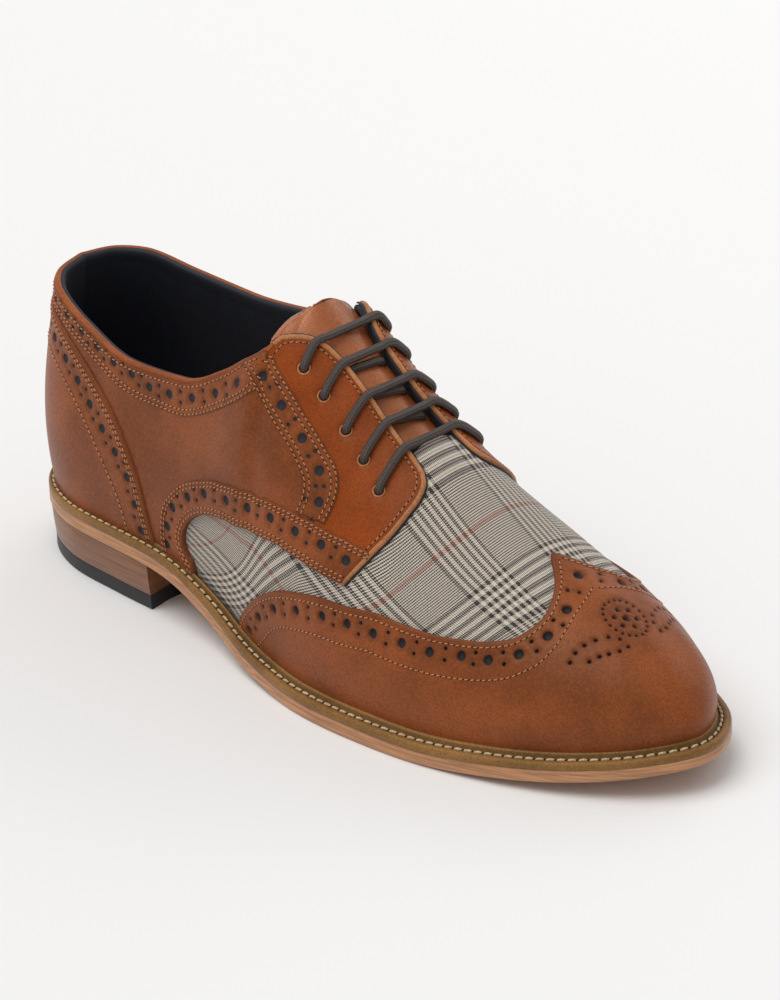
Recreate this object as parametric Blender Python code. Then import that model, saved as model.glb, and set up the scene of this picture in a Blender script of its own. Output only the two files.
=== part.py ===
"""Men's wingtip brogue, right foot, in metres.

+X points to the toe, -Y to the outside of the foot, +Z up; the floor is z = 0.
The skin of the last is a set of columns that start on the feather line and end on
the collar or on the crest of the vamp; every piece of the upper is a part of it.
"""
import functools
import math

import bpy
import numpy as np

# lengths and heights of the shoe
LAST_LENGTH = 0.2905
LAST_BACK = -0.14675
BALL_HALF_WIDTH = 0.0455
INSTEP_HEIGHT = 0.125
HEEL_HEIGHT = 0.0175
LIFT_THICKNESS = 0.0056
OUTSOLE_THICKNESS = 0.0050
WELT_THICKNESS = 0.0026
WELT_REACH = 0.0076
INSOLE_THICKNESS = 0.0030

# walls and clearances
UPPER_WALL = 0.0020
OVERLAY_WALL = 0.0012
COUNTER_WALL = 0.0017
TONGUE_WALL = 0.0025
FLAT_GAP = 0.0003
CURVE_GAP = 0.0006
WELT_GAP = 0.0008
UPPER_DROP = 0.0009
TONGUE_GAP = 0.0010

# heel
HEEL_BREAST = -0.0770
BREAST_HOLLOW = 0.0030
HEEL_TAPER = 0.0012
LIFT_INSET = 0.0004

# lacing
LACE_THICKNESS = 0.0026
LACE_LIFT = 0.0007
HOLE_WIDTH = 0.0040
HOLE_DEPTH = 0.0100
THROAT_FRONT = 0.603
CROSS_DROP = 0.0015
CROSS_SPREAD = 0.62

# feather line: share of last length, outside half width, inside half width (shares of ball half width)
FEATHER = (
    (0.000, 0.000, 0.000),
    (0.009, 0.242, 0.242),
    (0.036, 0.462, 0.462),
    (0.090, 0.626, 0.626),
    (0.179, 0.681, 0.681),
    (0.279, 0.703, 0.637),
    (0.368, 0.758, 0.615),
    (0.454, 0.890, 0.703),
    (0.558, 1.000, 0.879),
    (0.651, 1.000, 0.989),
    (0.740, 0.934, 1.000),
    (0.833, 0.769, 0.879),
    (0.912, 0.538, 0.659),
    (0.974, 0.231, 0.385),
    (1.000, -0.066, 0.066),
)

# underside of the sole: share of last length, share of heel height
ARCH = (
    (-0.021, 1.000),
    (0.196, 1.000),
    (0.244, 0.971),
    (0.286, 0.880),
    (0.334, 0.651),
    (0.382, 0.400),
    (0.430, 0.194),
    (0.485, 0.057),
    (0.547, 0.000),
    (0.719, 0.000),
    (0.823, 0.103),
    (0.926, 0.297),
    (1.033, 0.600),
)

# how far the welt stands out: share of last length, share of welt reach
REACH = (
    (-0.021, 0.605),
    (0.196, 0.605),
    (0.334, 0.684),
    (0.472, 0.868),
    (0.609, 0.974),
    (1.033, 1.000),
)

# columns of the last, heel to toe:
# share of the outline; top end: share of length, outside and inside half width, outside and inside height;
# foot handle: up, out; top handle: out, down, turn (-1 points to the heel, 1 to the toe)
COLUMNS = (
    (0.00, 0.012, 0.000, 0.000, 0.808, 0.808, 0.272, 0.143, 0.044, 0.208, -1.00),
    (0.05, 0.021, 0.242, 0.242, 0.804, 0.804, 0.272, 0.132, 0.044, 0.208, -0.75),
    (0.10, 0.052, 0.440, 0.440, 0.788, 0.796, 0.264, 0.110, 0.044, 0.208, -0.45),
    (0.16, 0.114, 0.538, 0.560, 0.744, 0.764, 0.248, 0.088, 0.055, 0.200, -0.10),
    (0.23, 0.203, 0.593, 0.615, 0.700, 0.748, 0.232, 0.077, 0.055, 0.200, 0.00),
    (0.29, 0.293, 0.593, 0.593, 0.716, 0.772, 0.232, 0.077, 0.088, 0.200, 0.00),
    (0.34, 0.358, 0.549, 0.549, 0.788, 0.820, 0.240, 0.077, 0.198, 0.196, 0.00),
    (0.38, 0.394, 0.473, 0.473, 0.872, 0.876, 0.262, 0.066, 0.330, 0.176, 0.00),
    (0.42, 0.417, 0.297, 0.297, 0.952, 0.952, 0.278, 0.055, 0.505, 0.112, 0.00),
    (0.46, 0.431, 0.000, 0.000, 1.000, 1.000, 0.282, 0.055, 0.670, 0.008, 0.00),
    (0.52, 0.506, 0.000, 0.000, 0.862, 0.862, 0.270, 0.075, 0.610, 0.000, 0.00),
    (0.58, 0.575, 0.000, 0.000, 0.736, 0.736, 0.248, 0.105, 0.560, 0.000, 0.00),
    (0.64, 0.644, 0.000, 0.000, 0.636, 0.636, 0.216, 0.132, 0.538, 0.000, 0.00),
    (0.71, 0.713, 0.000, 0.000, 0.554, 0.554, 0.192, 0.132, 0.549, 0.000, 0.00),
    (0.78, 0.781, 0.000, 0.000, 0.484, 0.484, 0.168, 0.132, 0.527, 0.000, 0.00),
    (0.85, 0.850, 0.000, 0.000, 0.420, 0.420, 0.144, 0.132, 0.462, 0.000, 0.02),
    (0.90, 0.857, 0.000, 0.000, 0.414, 0.414, 0.132, 0.132, 0.462, 0.000, 0.30),
    (0.95, 0.857, 0.000, 0.000, 0.414, 0.414, 0.128, 0.143, 0.527, 0.000, 0.62),
    (1.00, 0.857, 0.000, 0.000, 0.414, 0.414, 0.128, 0.143, 0.571, 0.000, 1.00),
)
RIDGE_START = 0.46
FAN_START = 0.85
FAN_SLOPE = 0.38

# sideways run of the crest: share of last length, share of ball half width
CREST = (
    (0.300, 0.000),
    (0.506, 0.000),
    (0.713, 0.055),
    (0.857, 0.088),
    (1.000, 0.088),
)

# upper edge of the quarters and facings: share of the outline, height on the column
FACING_EDGE = (
    (0.000, 1.000),
    (0.330, 1.000),
    (0.365, 0.975),
    (0.392, 0.935),
    (0.434, 0.850),
    (0.458, 0.815),
    (0.474, 0.818),
    (0.489, 0.857),
    (0.510, 0.882),
    (0.550, 0.886),
    (0.603, 0.864),
    (0.660, 0.840),
    (0.750, 0.810),
    (1.000, 0.800),
)

# one quarter, back to front: step, low end (share, height), top end (share, height), bow to the front
QUARTER = (
    (0.00, 0.003, 0.925, 0.003, 1.000, 0.000),
    (0.17, 0.100, 0.905, 0.100, 1.000, 0.000),
    (0.23, 0.180, 0.820, 0.172, 1.000, 0.000),
    (0.29, 0.225, 0.620, 0.212, 1.000, 0.000),
    (0.35, 0.253, 0.350, 0.238, 1.000, 0.000),
    (0.40, 0.269, 0.085, 0.258, 1.000, 0.000),
    (0.42, 0.277, 0.000, 0.270, 1.000, 0.000),
    (0.45, 0.319, 0.000, 0.315, 1.000, 0.000),
    (0.48, 0.321, 0.160, 0.335, 0.997, 0.000),
    (0.52, 0.338, 0.295, 0.365, 0.975, 0.000),
    (0.57, 0.372, 0.330, 0.392, 0.935, 0.000),
    (0.65, 0.425, 0.320, 0.434, 0.850, 0.000),
    (0.72, 0.475, 0.315, 0.458, 0.815, 0.000),
    (0.76, 0.515, 0.340, 0.474, 0.818, 0.000),
    (0.80, 0.535, 0.350, 0.489, 0.857, 0.000),
    (0.85, 0.555, 0.362, 0.515, 0.883, 0.002),
    (0.90, 0.570, 0.373, 0.550, 0.886, 0.007),
    (0.95, 0.583, 0.382, 0.595, 0.868, 0.014),
    (1.00, 0.590, 0.387, 0.620, 0.853, 0.022),
)

# one side of the toe cap, wing to toe: step, low end share, top end (share, height), bow to the front
TOE_CAP = (
    (0.00, 0.415, 0.418, 0.040, 0.000),
    (0.06, 0.438, 0.446, 0.137, 0.000),
    (0.12, 0.475, 0.490, 0.214, 0.000),
    (0.21, 0.540, 0.556, 0.297, 0.000),
    (0.30, 0.610, 0.634, 0.372, 0.000),
    (0.38, 0.675, 0.698, 0.413, 0.000),
    (0.45, 0.725, 0.746, 0.458, 0.000),
    (0.51, 0.765, 0.783, 0.520, 0.000),
    (0.56, 0.792, 0.806, 0.610, 0.000),
    (0.60, 0.812, 0.815, 0.720, 0.000),
    (0.64, 0.832, 0.811, 0.830, 0.010),
    (0.68, 0.850, 0.799, 0.910, 0.025),
    (0.72, 0.868, 0.780, 1.000, 0.038),
    (0.77, 0.884, 0.812, 1.000, 0.022),
    (0.82, 0.904, 0.850, 1.000, 0.008),
    (0.88, 0.932, 0.900, 1.000, 0.000),
    (0.94, 0.965, 0.952, 1.000, 0.000),
    (1.00, 1.000, 1.000, 1.000, 0.000),
)

# heel counter, back to front: share of the outline, height of its top edge
COUNTER = (
    (0.000, 0.910),
    (0.100, 0.890),
    (0.175, 0.800),
    (0.205, 0.705),
    (0.235, 0.500),
    (0.258, 0.240),
    (0.268, 0.060),
    (0.272, 0.025),
)

# under edge of the tongue: share of the outline, height on the column
TONGUE_EDGE = (
    (0.395, 0.985),
    (0.412, 0.900),
    (0.432, 0.800),
    (0.460, 0.730),
    (0.500, 0.700),
    (0.640, 0.715),
)

# eyelet holes, top to bottom: share of the outline, height on the column
EYELETS = (
    (0.486, 0.743),
    (0.511, 0.740),
    (0.541, 0.730),
    (0.569, 0.717),
    (0.595, 0.690),
)

# how the columns of the upper are spread: step, share of the outline
SPREAD = (
    (0.00, 0.000),
    (0.13, 0.100),
    (0.25, 0.240),
    (0.35, 0.350),
    (0.57, 0.480),
    (0.69, 0.610),
    (0.83, 0.820),
    (1.00, 1.000),
)
UPPER_ROWS = (0.0, 0.09, 0.20, 0.33, 0.47, 0.61, 0.75, 0.88, 1.0)
CROWN_ROWS = (0.0, 0.34, 0.67, 1.0)
QUARTER_ROWS = (0.0, 0.13, 0.29, 0.45, 0.61, 0.76, 0.89, 1.0)
TOE_ROWS = (0.0, 0.12, 0.26, 0.41, 0.56, 0.71, 0.86, 1.0)
COUNTER_ROWS = (0.0, 0.17, 0.38, 0.59, 0.80, 1.0)
TONGUE_ROWS = (0.0, 0.2, 0.4, 0.6, 0.8, 1.0)
SOLE_ACROSS = 3
OUTSIDE = -1
INSIDE = 1


def curve(rows, column, at):
    """Smooth, never overshooting curve through one column of a table."""
    keys = np.array([row[0] for row in rows])
    values = np.array([row[column] for row in rows])
    at = np.clip(np.asarray(at, float), keys[0], keys[-1])
    gaps = np.diff(keys)
    rise = np.diff(values) / gaps
    slope = np.zeros(len(keys))
    slope[0] = rise[0]
    slope[-1] = rise[-1]
    for i in range(1, len(keys) - 1):
        if rise[i - 1] * rise[i] > 0:
            first = 2 * gaps[i] + gaps[i - 1]
            second = gaps[i] + 2 * gaps[i - 1]
            slope[i] = (first + second) / (first / rise[i - 1] + second / rise[i])
    i = np.clip(np.searchsorted(keys, at, side="right") - 1, 0, len(gaps) - 1)
    t = (at - keys[i]) / gaps[i]
    ends = (1 + 2 * t) * (1 - t) ** 2 * values[i] + t * t * (3 - 2 * t) * values[i + 1]
    bends = t * (1 - t) ** 2 * slope[i] + t * t * (t - 1) * slope[i + 1]
    return ends + gaps[i] * bends


def length_share(x):
    return (x - LAST_BACK) / LAST_LENGTH


def underside(x):
    """Height of the underside of the outsole."""
    return HEEL_HEIGHT * curve(ARCH, 1, length_share(x))


def reach(x):
    """How far the welt stands out from the feather line."""
    return WELT_REACH * curve(REACH, 1, length_share(x))


def feather_line(side):
    """Dense points of one side of the feather line with their share of its length."""
    points = []
    for share, outside, inside in FEATHER:
        half = -outside if side == OUTSIDE else inside
        points.append((LAST_BACK + LAST_LENGTH * share, BALL_HALF_WIDTH * half))
    points = np.array(points)
    before = (points[1, 0], -points[1, 1])
    after = (points[-2, 0], 2 * points[-1, 1] - points[-2, 1])
    hull = np.vstack([before, points, after])
    dense = []
    for i in range(1, len(hull) - 2):
        p0, p1, p2, p3 = hull[i - 1:i + 3]
        t0 = 0.0
        t1 = t0 + math.sqrt(np.linalg.norm(p1 - p0))
        t2 = t1 + math.sqrt(np.linalg.norm(p2 - p1))
        t3 = t2 + math.sqrt(np.linalg.norm(p3 - p2))
        t = np.linspace(t1, t2, 16, endpoint=False)[:, None]
        a1 = (t1 - t) / (t1 - t0) * p0 + (t - t0) / (t1 - t0) * p1
        a2 = (t2 - t) / (t2 - t1) * p1 + (t - t1) / (t2 - t1) * p2
        a3 = (t3 - t) / (t3 - t2) * p2 + (t - t2) / (t3 - t2) * p3
        b1 = (t2 - t) / (t2 - t0) * a1 + (t - t0) / (t2 - t0) * a2
        b2 = (t3 - t) / (t3 - t1) * a2 + (t - t1) / (t3 - t1) * a3
        dense.append((t2 - t) / (t2 - t1) * b1 + (t - t1) / (t2 - t1) * b2)
    dense.append(points[-1:])
    dense = np.vstack(dense)
    steps = np.linalg.norm(np.diff(dense, axis=0), axis=1)
    run = np.concatenate([[0.0], np.cumsum(steps)])
    return dense, run / run[-1]


LINES = {side: feather_line(side) for side in (OUTSIDE, INSIDE)}


def feather(side, share, grow=0.0):
    """Plan point of the feather line, moved out by grow, and its outward direction."""
    dense, run = LINES[side]
    x = np.interp(share, run, dense[:, 0])
    y = np.interp(share, run, dense[:, 1])
    back = np.clip(np.asarray(share) - 0.004, 0, 1)
    front = np.clip(np.asarray(share) + 0.004, 0, 1)
    run_x = np.interp(front, run, dense[:, 0]) - np.interp(back, run, dense[:, 0])
    run_y = np.interp(front, run, dense[:, 1]) - np.interp(back, run, dense[:, 1])
    long = np.hypot(run_x, run_y)
    out_x = -side * run_y / long
    out_y = side * run_x / long
    out_x = np.where(share <= 0, -1.0, np.where(share >= 1, 1.0, out_x))
    out_y = np.where((share <= 0) | (share >= 1), 0.0, out_y)
    return x + out_x * grow, y + out_y * grow, out_x, out_y


def skin(side, share, height):
    """Point of the last's skin; heights below zero run straight down."""
    share = np.asarray(share, float)
    height = np.asarray(height, float)
    x, y, out_x, out_y = feather(side, share)
    z = underside(x) + OUTSOLE_THICKNESS + WELT_THICKNESS - 0.001
    half_column, tall_column = (2, 4) if side == OUTSIDE else (3, 5)
    top_x = LAST_BACK + LAST_LENGTH * curve(COLUMNS, 1, share)
    top_y = side * BALL_HALF_WIDTH * curve(COLUMNS, half_column, share)
    top_y = top_y + BALL_HALF_WIDTH * curve(CREST, 1, length_share(top_x))
    top_z = INSTEP_HEIGHT * curve(COLUMNS, tall_column, share)
    foot_up = INSTEP_HEIGHT * curve(COLUMNS, 6, share)
    foot_out = BALL_HALF_WIDTH * curve(COLUMNS, 7, share)
    top_out = BALL_HALF_WIDTH * curve(COLUMNS, 8, share)
    top_down = INSTEP_HEIGHT * curve(COLUMNS, 9, share)
    turn = curve(COLUMNS, 10, share) * math.pi / 2
    fall = np.where(turn > 0, FAN_SLOPE, 0.0) * top_out * np.sin(turn)
    foot = np.stack([x, y, z], -1)
    low = np.stack([x + out_x * foot_out, y + out_y * foot_out, z + foot_up], -1)
    top = np.stack([top_x, top_y, top_z], -1)
    high_x = top_x + top_out * np.sin(turn)
    high_y = top_y + side * top_out * np.cos(turn)
    high = np.stack([high_x, high_y, top_z - top_down - fall], -1)
    t = np.clip(height, 0, 1)[..., None]
    point = (1 - t) ** 3 * foot + 3 * (1 - t) ** 2 * t * low + 3 * (1 - t) * t * t * high + t ** 3 * top
    below = np.minimum(height, 0.0)[..., None] * np.array([0.0, 0.0, 0.04])
    return point + below


@functools.lru_cache(maxsize=None)
def skin_out(side, share, height):
    """Outward direction of the skin."""
    highest = 0.985 if share > RIDGE_START else 0.999
    height = min(max(height, 0.0), highest)
    back = max(share - 0.003, 0.0)
    front = min(share + 0.003, 1.0)
    along = skin(side, front, height) - skin(side, back, height)
    up = skin(side, share, min(height + 0.004, 1.0)) - skin(side, share, max(height - 0.004, 0.0))
    out = np.cross(along, up) * -side
    return out / np.linalg.norm(out)


@functools.lru_cache(maxsize=None)
def spot(side, share, height):
    """One point of the skin, kept once worked out."""
    return skin(side, share, height)


def lifted(side, share, height, lift):
    return spot(side, share, height) + skin_out(side, share, height) * lift


def sill(share):
    """Height at which a lifted column clears the top of the welt."""
    up = INSTEP_HEIGHT * float(curve(COLUMNS, 6, share))
    out = BALL_HALF_WIDTH * float(curve(COLUMNS, 7, share))
    clear = 0.001 + CURVE_GAP + (CURVE_GAP + COUNTER_WALL) * out / up
    return clear / (3 * up)


def patch(side, columns, rows):
    """Cells of a patch; a column is (low share, low height, top share, top height, bow)."""
    grid = []
    for low_share, low_height, top_share, top_height, bow in columns:
        line = []
        for row in rows:
            share = low_share + (top_share - low_share) * row + bow * 4 * row * (1 - row)
            height = low_height + (top_height - low_height) * row
            line.append((side, min(share, 1.0), height))
        grid.append(line)
    cells = []
    for left, right in zip(grid, grid[1:]):
        for i in range(len(rows) - 1):
            cell = [left[i], right[i], right[i + 1], left[i + 1]]
            cells.append(cell if side == OUTSIDE else cell[::-1])
    return cells


def mesh_object(name, points, faces, material):
    mesh = bpy.data.meshes.new(name)
    mesh.from_pydata([tuple(float(v) for v in p) for p in points], [], faces)
    mesh.validate()
    mesh.materials.append(material)
    for face in mesh.polygons:
        face.use_smooth = True
    item = bpy.data.objects.new(name, mesh)
    bpy.context.scene.collection.objects.link(item)
    return item


def thicken(name, cells, outer, inner, material):
    """Closed sheet of the cells between two levels over the skin."""
    index = {}
    bases = []
    outs = []
    faces = []
    for cell in cells:
        face = []
        for side, share, height in cell:
            base = spot(side, share, height)
            key = tuple(int(round(v * 1e6)) for v in base)
            if key not in index:
                index[key] = len(bases)
                bases.append(base)
                outs.append(np.zeros(3))
            outs[index[key]] += skin_out(side, share, height)
            if index[key] not in face:
                face.append(index[key])
        if len(face) > 2:
            faces.append(face)
    count = len(bases)
    bases = np.array(bases)
    outs = np.array(outs)
    outs /= np.linalg.norm(outs, axis=1)[:, None]
    points = np.vstack([bases + outs * outer, bases + outs * inner])
    edges = {}
    for face in faces:
        for a, b in zip(face, face[1:] + face[:1]):
            edges[(a, b)] = True
    solid = list(faces)
    solid += [[v + count for v in face[::-1]] for face in faces]
    for a, b in edges:
        if (b, a) not in edges:
            solid.append([b, a, a + count, b + count])
    return mesh_object(name, points, solid, material)


def slab(name, steps, grow, low, high, profile, material, front=None, hollow=0.0):
    """Slab between two heights; profile rows are (level, inset); front cuts it at a length."""
    stops = {}
    for side in (OUTSIDE, INSIDE):
        stops[side] = 1.0
        if front is not None:
            shares = np.linspace(0, 1, 2001)
            x = feather(side, shares, grow(feather(side, shares)[0]))[0]
            stops[side] = float(shares[np.argmax(x > front)])
    closed = front is None
    points = []
    faces = []

    def plan(side, step, inset):
        share = step * stops[side]
        x = float(feather(side, share)[0])
        x, y = feather(side, share, float(grow(x)) - inset)[:2]
        return float(x), float(y)

    def add(x, y, level):
        z = float(low(x)) + (float(high(x)) - float(low(x))) * level
        points.append((x, y, z))
        return len(points) - 1

    def between(left, right, last):
        line = []
        for i in range(1, SOLE_ACROSS):
            w = i / SOLE_ACROSS
            x = left[0] + (right[0] - left[0]) * w
            y = left[1] + (right[1] - left[1]) * w
            if last:
                x -= hollow * 4 * w * (1 - w)
            line.append((x, y))
        return line

    loops = []
    for level, inset in profile:
        outside = [plan(OUTSIDE, step, inset) for step in steps]
        inside = [plan(INSIDE, step, inset) for step in steps]
        loop = [add(x, y, level) for x, y in outside]
        if closed:
            loop += [add(x, y, level) for x, y in inside[-2:0:-1]]
        else:
            loop += [add(x, y, level) for x, y in between(outside[-1], inside[-1], True)]
            loop += [add(x, y, level) for x, y in inside[:0:-1]]
        loops.append(loop)
    for lower, upper in zip(loops, loops[1:]):
        for i in range(len(lower)):
            j = (i + 1) % len(lower)
            faces.append([lower[i], lower[j], upper[j], upper[i]])
    count = len(steps)
    for loop, level, up in ((loops[0], profile[0][0], False), (loops[-1], profile[-1][0], True)):
        rows = []
        for i in range(count):
            left = loop[i]
            if i == 0 or (closed and i == count - 1):
                rows.append([left])
                continue
            right = loop[len(loop) - i]
            if i == count - 1:
                middle = loop[count:count + SOLE_ACROSS - 1]
            else:
                ends = [points[left], points[right]]
                middle = [add(x, y, level) for x, y in between(ends[0], ends[1], False)]
            rows.append([left] + middle + [right])
        for back, ahead in zip(rows, rows[1:]):
            for i in range(SOLE_ACROSS):
                corners = [back[min(i, len(back) - 1)], ahead[min(i, len(ahead) - 1)]]
                corners += [ahead[min(i + 1, len(ahead) - 1)], back[min(i + 1, len(back) - 1)]]
                face = list(dict.fromkeys(corners))
                if len(face) > 2:
                    faces.append(face if up else face[::-1])
    return mesh_object(name, points, faces, material)


def welt_strip(name, steps, material):
    """Closed strip round the whole shoe, outside the upper."""
    section = ((0.0, 0.0, 0.0), (0.0, 1.0, 0.0), (1.0, 1.0, 0.0004), (1.0, 0.0, 0.0))
    spots = [(OUTSIDE, step) for step in steps] + [(INSIDE, step) for step in steps[-2:0:-1]]
    points = []
    faces = []
    for side, share in spots:
        near = float(feather(side, share)[0])
        for outward, level, inset in section:
            grow = WELT_GAP if outward == 0 else float(reach(near)) - inset
            x, y = feather(side, share, grow)[:2]
            base = float(underside(x)) + OUTSOLE_THICKNESS + FLAT_GAP
            points.append((x, y, base + (WELT_THICKNESS - FLAT_GAP) * level))
    many = len(section)
    for i in range(len(spots)):
        j = (i + 1) % len(spots)
        for k in range(many):
            m = (k + 1) % many
            faces.append([i * many + m, j * many + m, j * many + k, i * many + k])
    return mesh_object(name, points, faces, material)


def tube(name, path, radius, material):
    """Capped round tube along a path."""
    sides = 6
    path = np.array(path)
    points = []
    faces = []
    normal = None
    for i in range(len(path)):
        ahead = path[min(i + 1, len(path) - 1)] - path[max(i - 1, 0)]
        ahead /= np.linalg.norm(ahead)
        if normal is None:
            normal = np.cross(ahead, (1.0, 0.0, 0.3))
        normal = normal - ahead * np.dot(normal, ahead)
        normal /= np.linalg.norm(normal)
        across = np.cross(ahead, normal)
        for k in range(sides):
            turn = 2 * math.pi * k / sides
            points.append(path[i] + radius * (math.cos(turn) * normal + math.sin(turn) * across))
    for i in range(len(path) - 1):
        for k in range(sides):
            m = (k + 1) % sides
            faces.append([i * sides + k, i * sides + m, (i + 1) * sides + m, (i + 1) * sides + k])
    faces.append(list(range(sides))[::-1])
    faces.append([(len(path) - 1) * sides + k for k in range(sides)])
    return mesh_object(name, points, faces, material)


def cutter(item):
    item.hide_render = True
    item.display_type = "WIRE"
    return item


def combine(item, other, operation):
    change = item.modifiers.new(other.name, "BOOLEAN")
    change.operation = operation
    change.solver = "EXACT"
    change.object = cutter(other)


def flat_material(name, colour, roughness, metallic=0.0):
    material = bpy.data.materials.new(name)
    material.use_nodes = True
    shader = material.node_tree.nodes["Principled BSDF"]
    shader.inputs["Base Color"].default_value = (*colour, 1.0)
    shader.inputs["Roughness"].default_value = roughness
    shader.inputs["Metallic"].default_value = metallic
    material.diffuse_color = (*colour, 1.0)
    return material


def even_steps(count):
    """Shares of the outline, closer together where it turns at the heel and the toe."""
    steps = np.linspace(0, 1, count)
    return [float(s - 0.055 * math.sin(2 * math.pi * s)) for s in steps]


def make_sole():
    lift_top = LIFT_THICKNESS
    heel_steps = [i / 12 for i in range(13)]
    slab("top_lift", heel_steps, lambda x: reach(x) - LIFT_INSET - HEEL_TAPER,
         lambda x: 0.0, lambda x: lift_top, ((0.0, 0.0), (1.0, 0.0)),
         flat_material("black_rubber", (0.012, 0.012, 0.013), 0.55), HEEL_BREAST, BREAST_HOLLOW)
    slab("heel", heel_steps, lambda x: reach(x) - LIFT_INSET,
         lambda x: lift_top + FLAT_GAP, lambda x: underside(x) - FLAT_GAP, ((0.0, HEEL_TAPER), (1.0, 0.0)),
         flat_material("heel_leather", (0.20, 0.085, 0.035), 0.45), HEEL_BREAST, BREAST_HOLLOW)
    sole_steps = even_steps(39)
    slab("outsole", sole_steps, reach, underside, lambda x: underside(x) + OUTSOLE_THICKNESS,
         ((0.0, 0.0008), (0.2, 0.0001), (1.0, 0.0003)),
         flat_material("sole_leather", (0.50, 0.24, 0.10), 0.5))
    welt_strip("welt", sole_steps, flat_material("welt_leather", (0.17, 0.07, 0.03), 0.5))
    slab("insole", sole_steps, lambda x: x * 0.0 - UPPER_WALL - CURVE_GAP - 0.0004,
         lambda x: underside(x) + OUTSOLE_THICKNESS + CURVE_GAP,
         lambda x: underside(x) + OUTSOLE_THICKNESS + CURVE_GAP + INSOLE_THICKNESS,
         ((0.0, 0.0), (1.0, 0.0)), flat_material("insole_cloth", (0.02, 0.022, 0.035), 0.8))


def holes(name, side):
    """Cylinders through the five eyelets of one facing, as one cutter."""
    points = []
    faces = []
    sides = 10
    for share, height in EYELETS:
        out = skin_out(side, share, height)
        centre = skin(side, share, height)
        along = np.cross(out, (0.0, 1.0, 0.0))
        along /= np.linalg.norm(along)
        across = np.cross(out, along)
        first = len(points)
        for end in (-0.5, 0.5):
            for k in range(sides):
                turn = 2 * math.pi * k / sides
                rim = HOLE_WIDTH / 2 * (math.cos(turn) * along + math.sin(turn) * across)
                points.append(centre + rim + out * HOLE_DEPTH * end)
        for k in range(sides):
            m = (k + 1) % sides
            faces.append([first + k, first + m, first + sides + m, first + sides + k])
        faces.append([first + k for k in range(sides)][::-1])
        faces.append([first + sides + k for k in range(sides)])
    return mesh_object(name, points, faces, flat_material(name + "_cut", (0.5, 0.5, 0.5), 0.5))


def make_upper():
    """Hollow upper: open at the collar, down the throat and under the foot."""
    drop = -UPPER_DROP / 0.04
    shares = [float(curve(SPREAD, 1, i / 38)) for i in range(39)]
    shares = sorted(set(shares) | {THROAT_FRONT})
    shares = [s for s in shares if s == THROAT_FRONT or abs(s - THROAT_FRONT) > 0.006]
    cells = []
    for side in (OUTSIDE, INSIDE):
        grid = []
        for share in shares:
            edge = float(curve(FACING_EDGE, 1, share))
            heights = [drop] + [edge * row for row in UPPER_ROWS]
            heights += [edge + (1 - edge) * row for row in CROWN_ROWS[1:]]
            grid.append([(side, share, height) for height in heights])
        body = len(UPPER_ROWS)
        for left, right in zip(grid, grid[1:]):
            closed = left[0][1] >= THROAT_FRONT
            for i in range(len(left) - 1 if closed else body):
                cell = [left[i], right[i], right[i + 1], left[i + 1]]
                cells.append(cell if side == OUTSIDE else cell[::-1])
    upper = thicken("upper", cells, 0.0, -UPPER_WALL, flat_material("upper_cloth", (0.35, 0.31, 0.25), 0.7))
    combine(upper, holes("upper_holes_outside", OUTSIDE), "DIFFERENCE")
    combine(upper, holes("upper_holes_inside", INSIDE), "DIFFERENCE")
    return upper


def make_quarters(leather):
    for side, name in ((OUTSIDE, "quarter_lateral"), (INSIDE, "quarter_medial")):
        columns = []
        for step in np.linspace(0, 1, 35):
            row = [float(curve(QUARTER, i, step)) for i in range(1, 6)]
            row[1] = max(row[1], sill(row[0]))
            columns.append(tuple(row))
        cells = patch(side, columns, QUARTER_ROWS)
        quarter = thicken(name, cells, CURVE_GAP + OVERLAY_WALL, CURVE_GAP, leather)
        combine(quarter, holes(name + "_holes", side), "DIFFERENCE")


def make_toe_cap(leather):
    cells = []
    for side in (OUTSIDE, INSIDE):
        columns = []
        for step in np.linspace(0, 1, 31):
            low = float(curve(TOE_CAP, 1, step))
            top = float(curve(TOE_CAP, 2, step))
            height = float(curve(TOE_CAP, 3, step))
            columns.append((low, sill(low), top, height, float(curve(TOE_CAP, 4, step))))
        cells += patch(side, columns, TOE_ROWS)
    return thicken("toe_cap", cells, CURVE_GAP + OVERLAY_WALL, CURVE_GAP, leather)


def make_counter(leather):
    cells = []
    for side in (OUTSIDE, INSIDE):
        columns = []
        for step in np.linspace(0, 1, 15):
            share = COUNTER[-1][0] * step
            columns.append((share, sill(share), share, float(curve(COUNTER, 1, share)), 0.0))
        cells += patch(side, columns, COUNTER_ROWS)
    return thicken("counter", cells, CURVE_GAP + COUNTER_WALL, CURVE_GAP, leather)


def make_tongue(leather):
    cells = []
    for side in (OUTSIDE, INSIDE):
        columns = []
        for step in np.linspace(0, 1, 17):
            share = TONGUE_EDGE[0][0] + (TONGUE_EDGE[-1][0] - TONGUE_EDGE[0][0]) * step
            columns.append((share, float(curve(TONGUE_EDGE, 1, share)), share, 1.0, 0.0))
        cells += patch(side, columns, TONGUE_ROWS)
    top = -UPPER_WALL - TONGUE_GAP
    return thicken("tongue", cells, top, top - TONGUE_WALL, leather)


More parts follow.
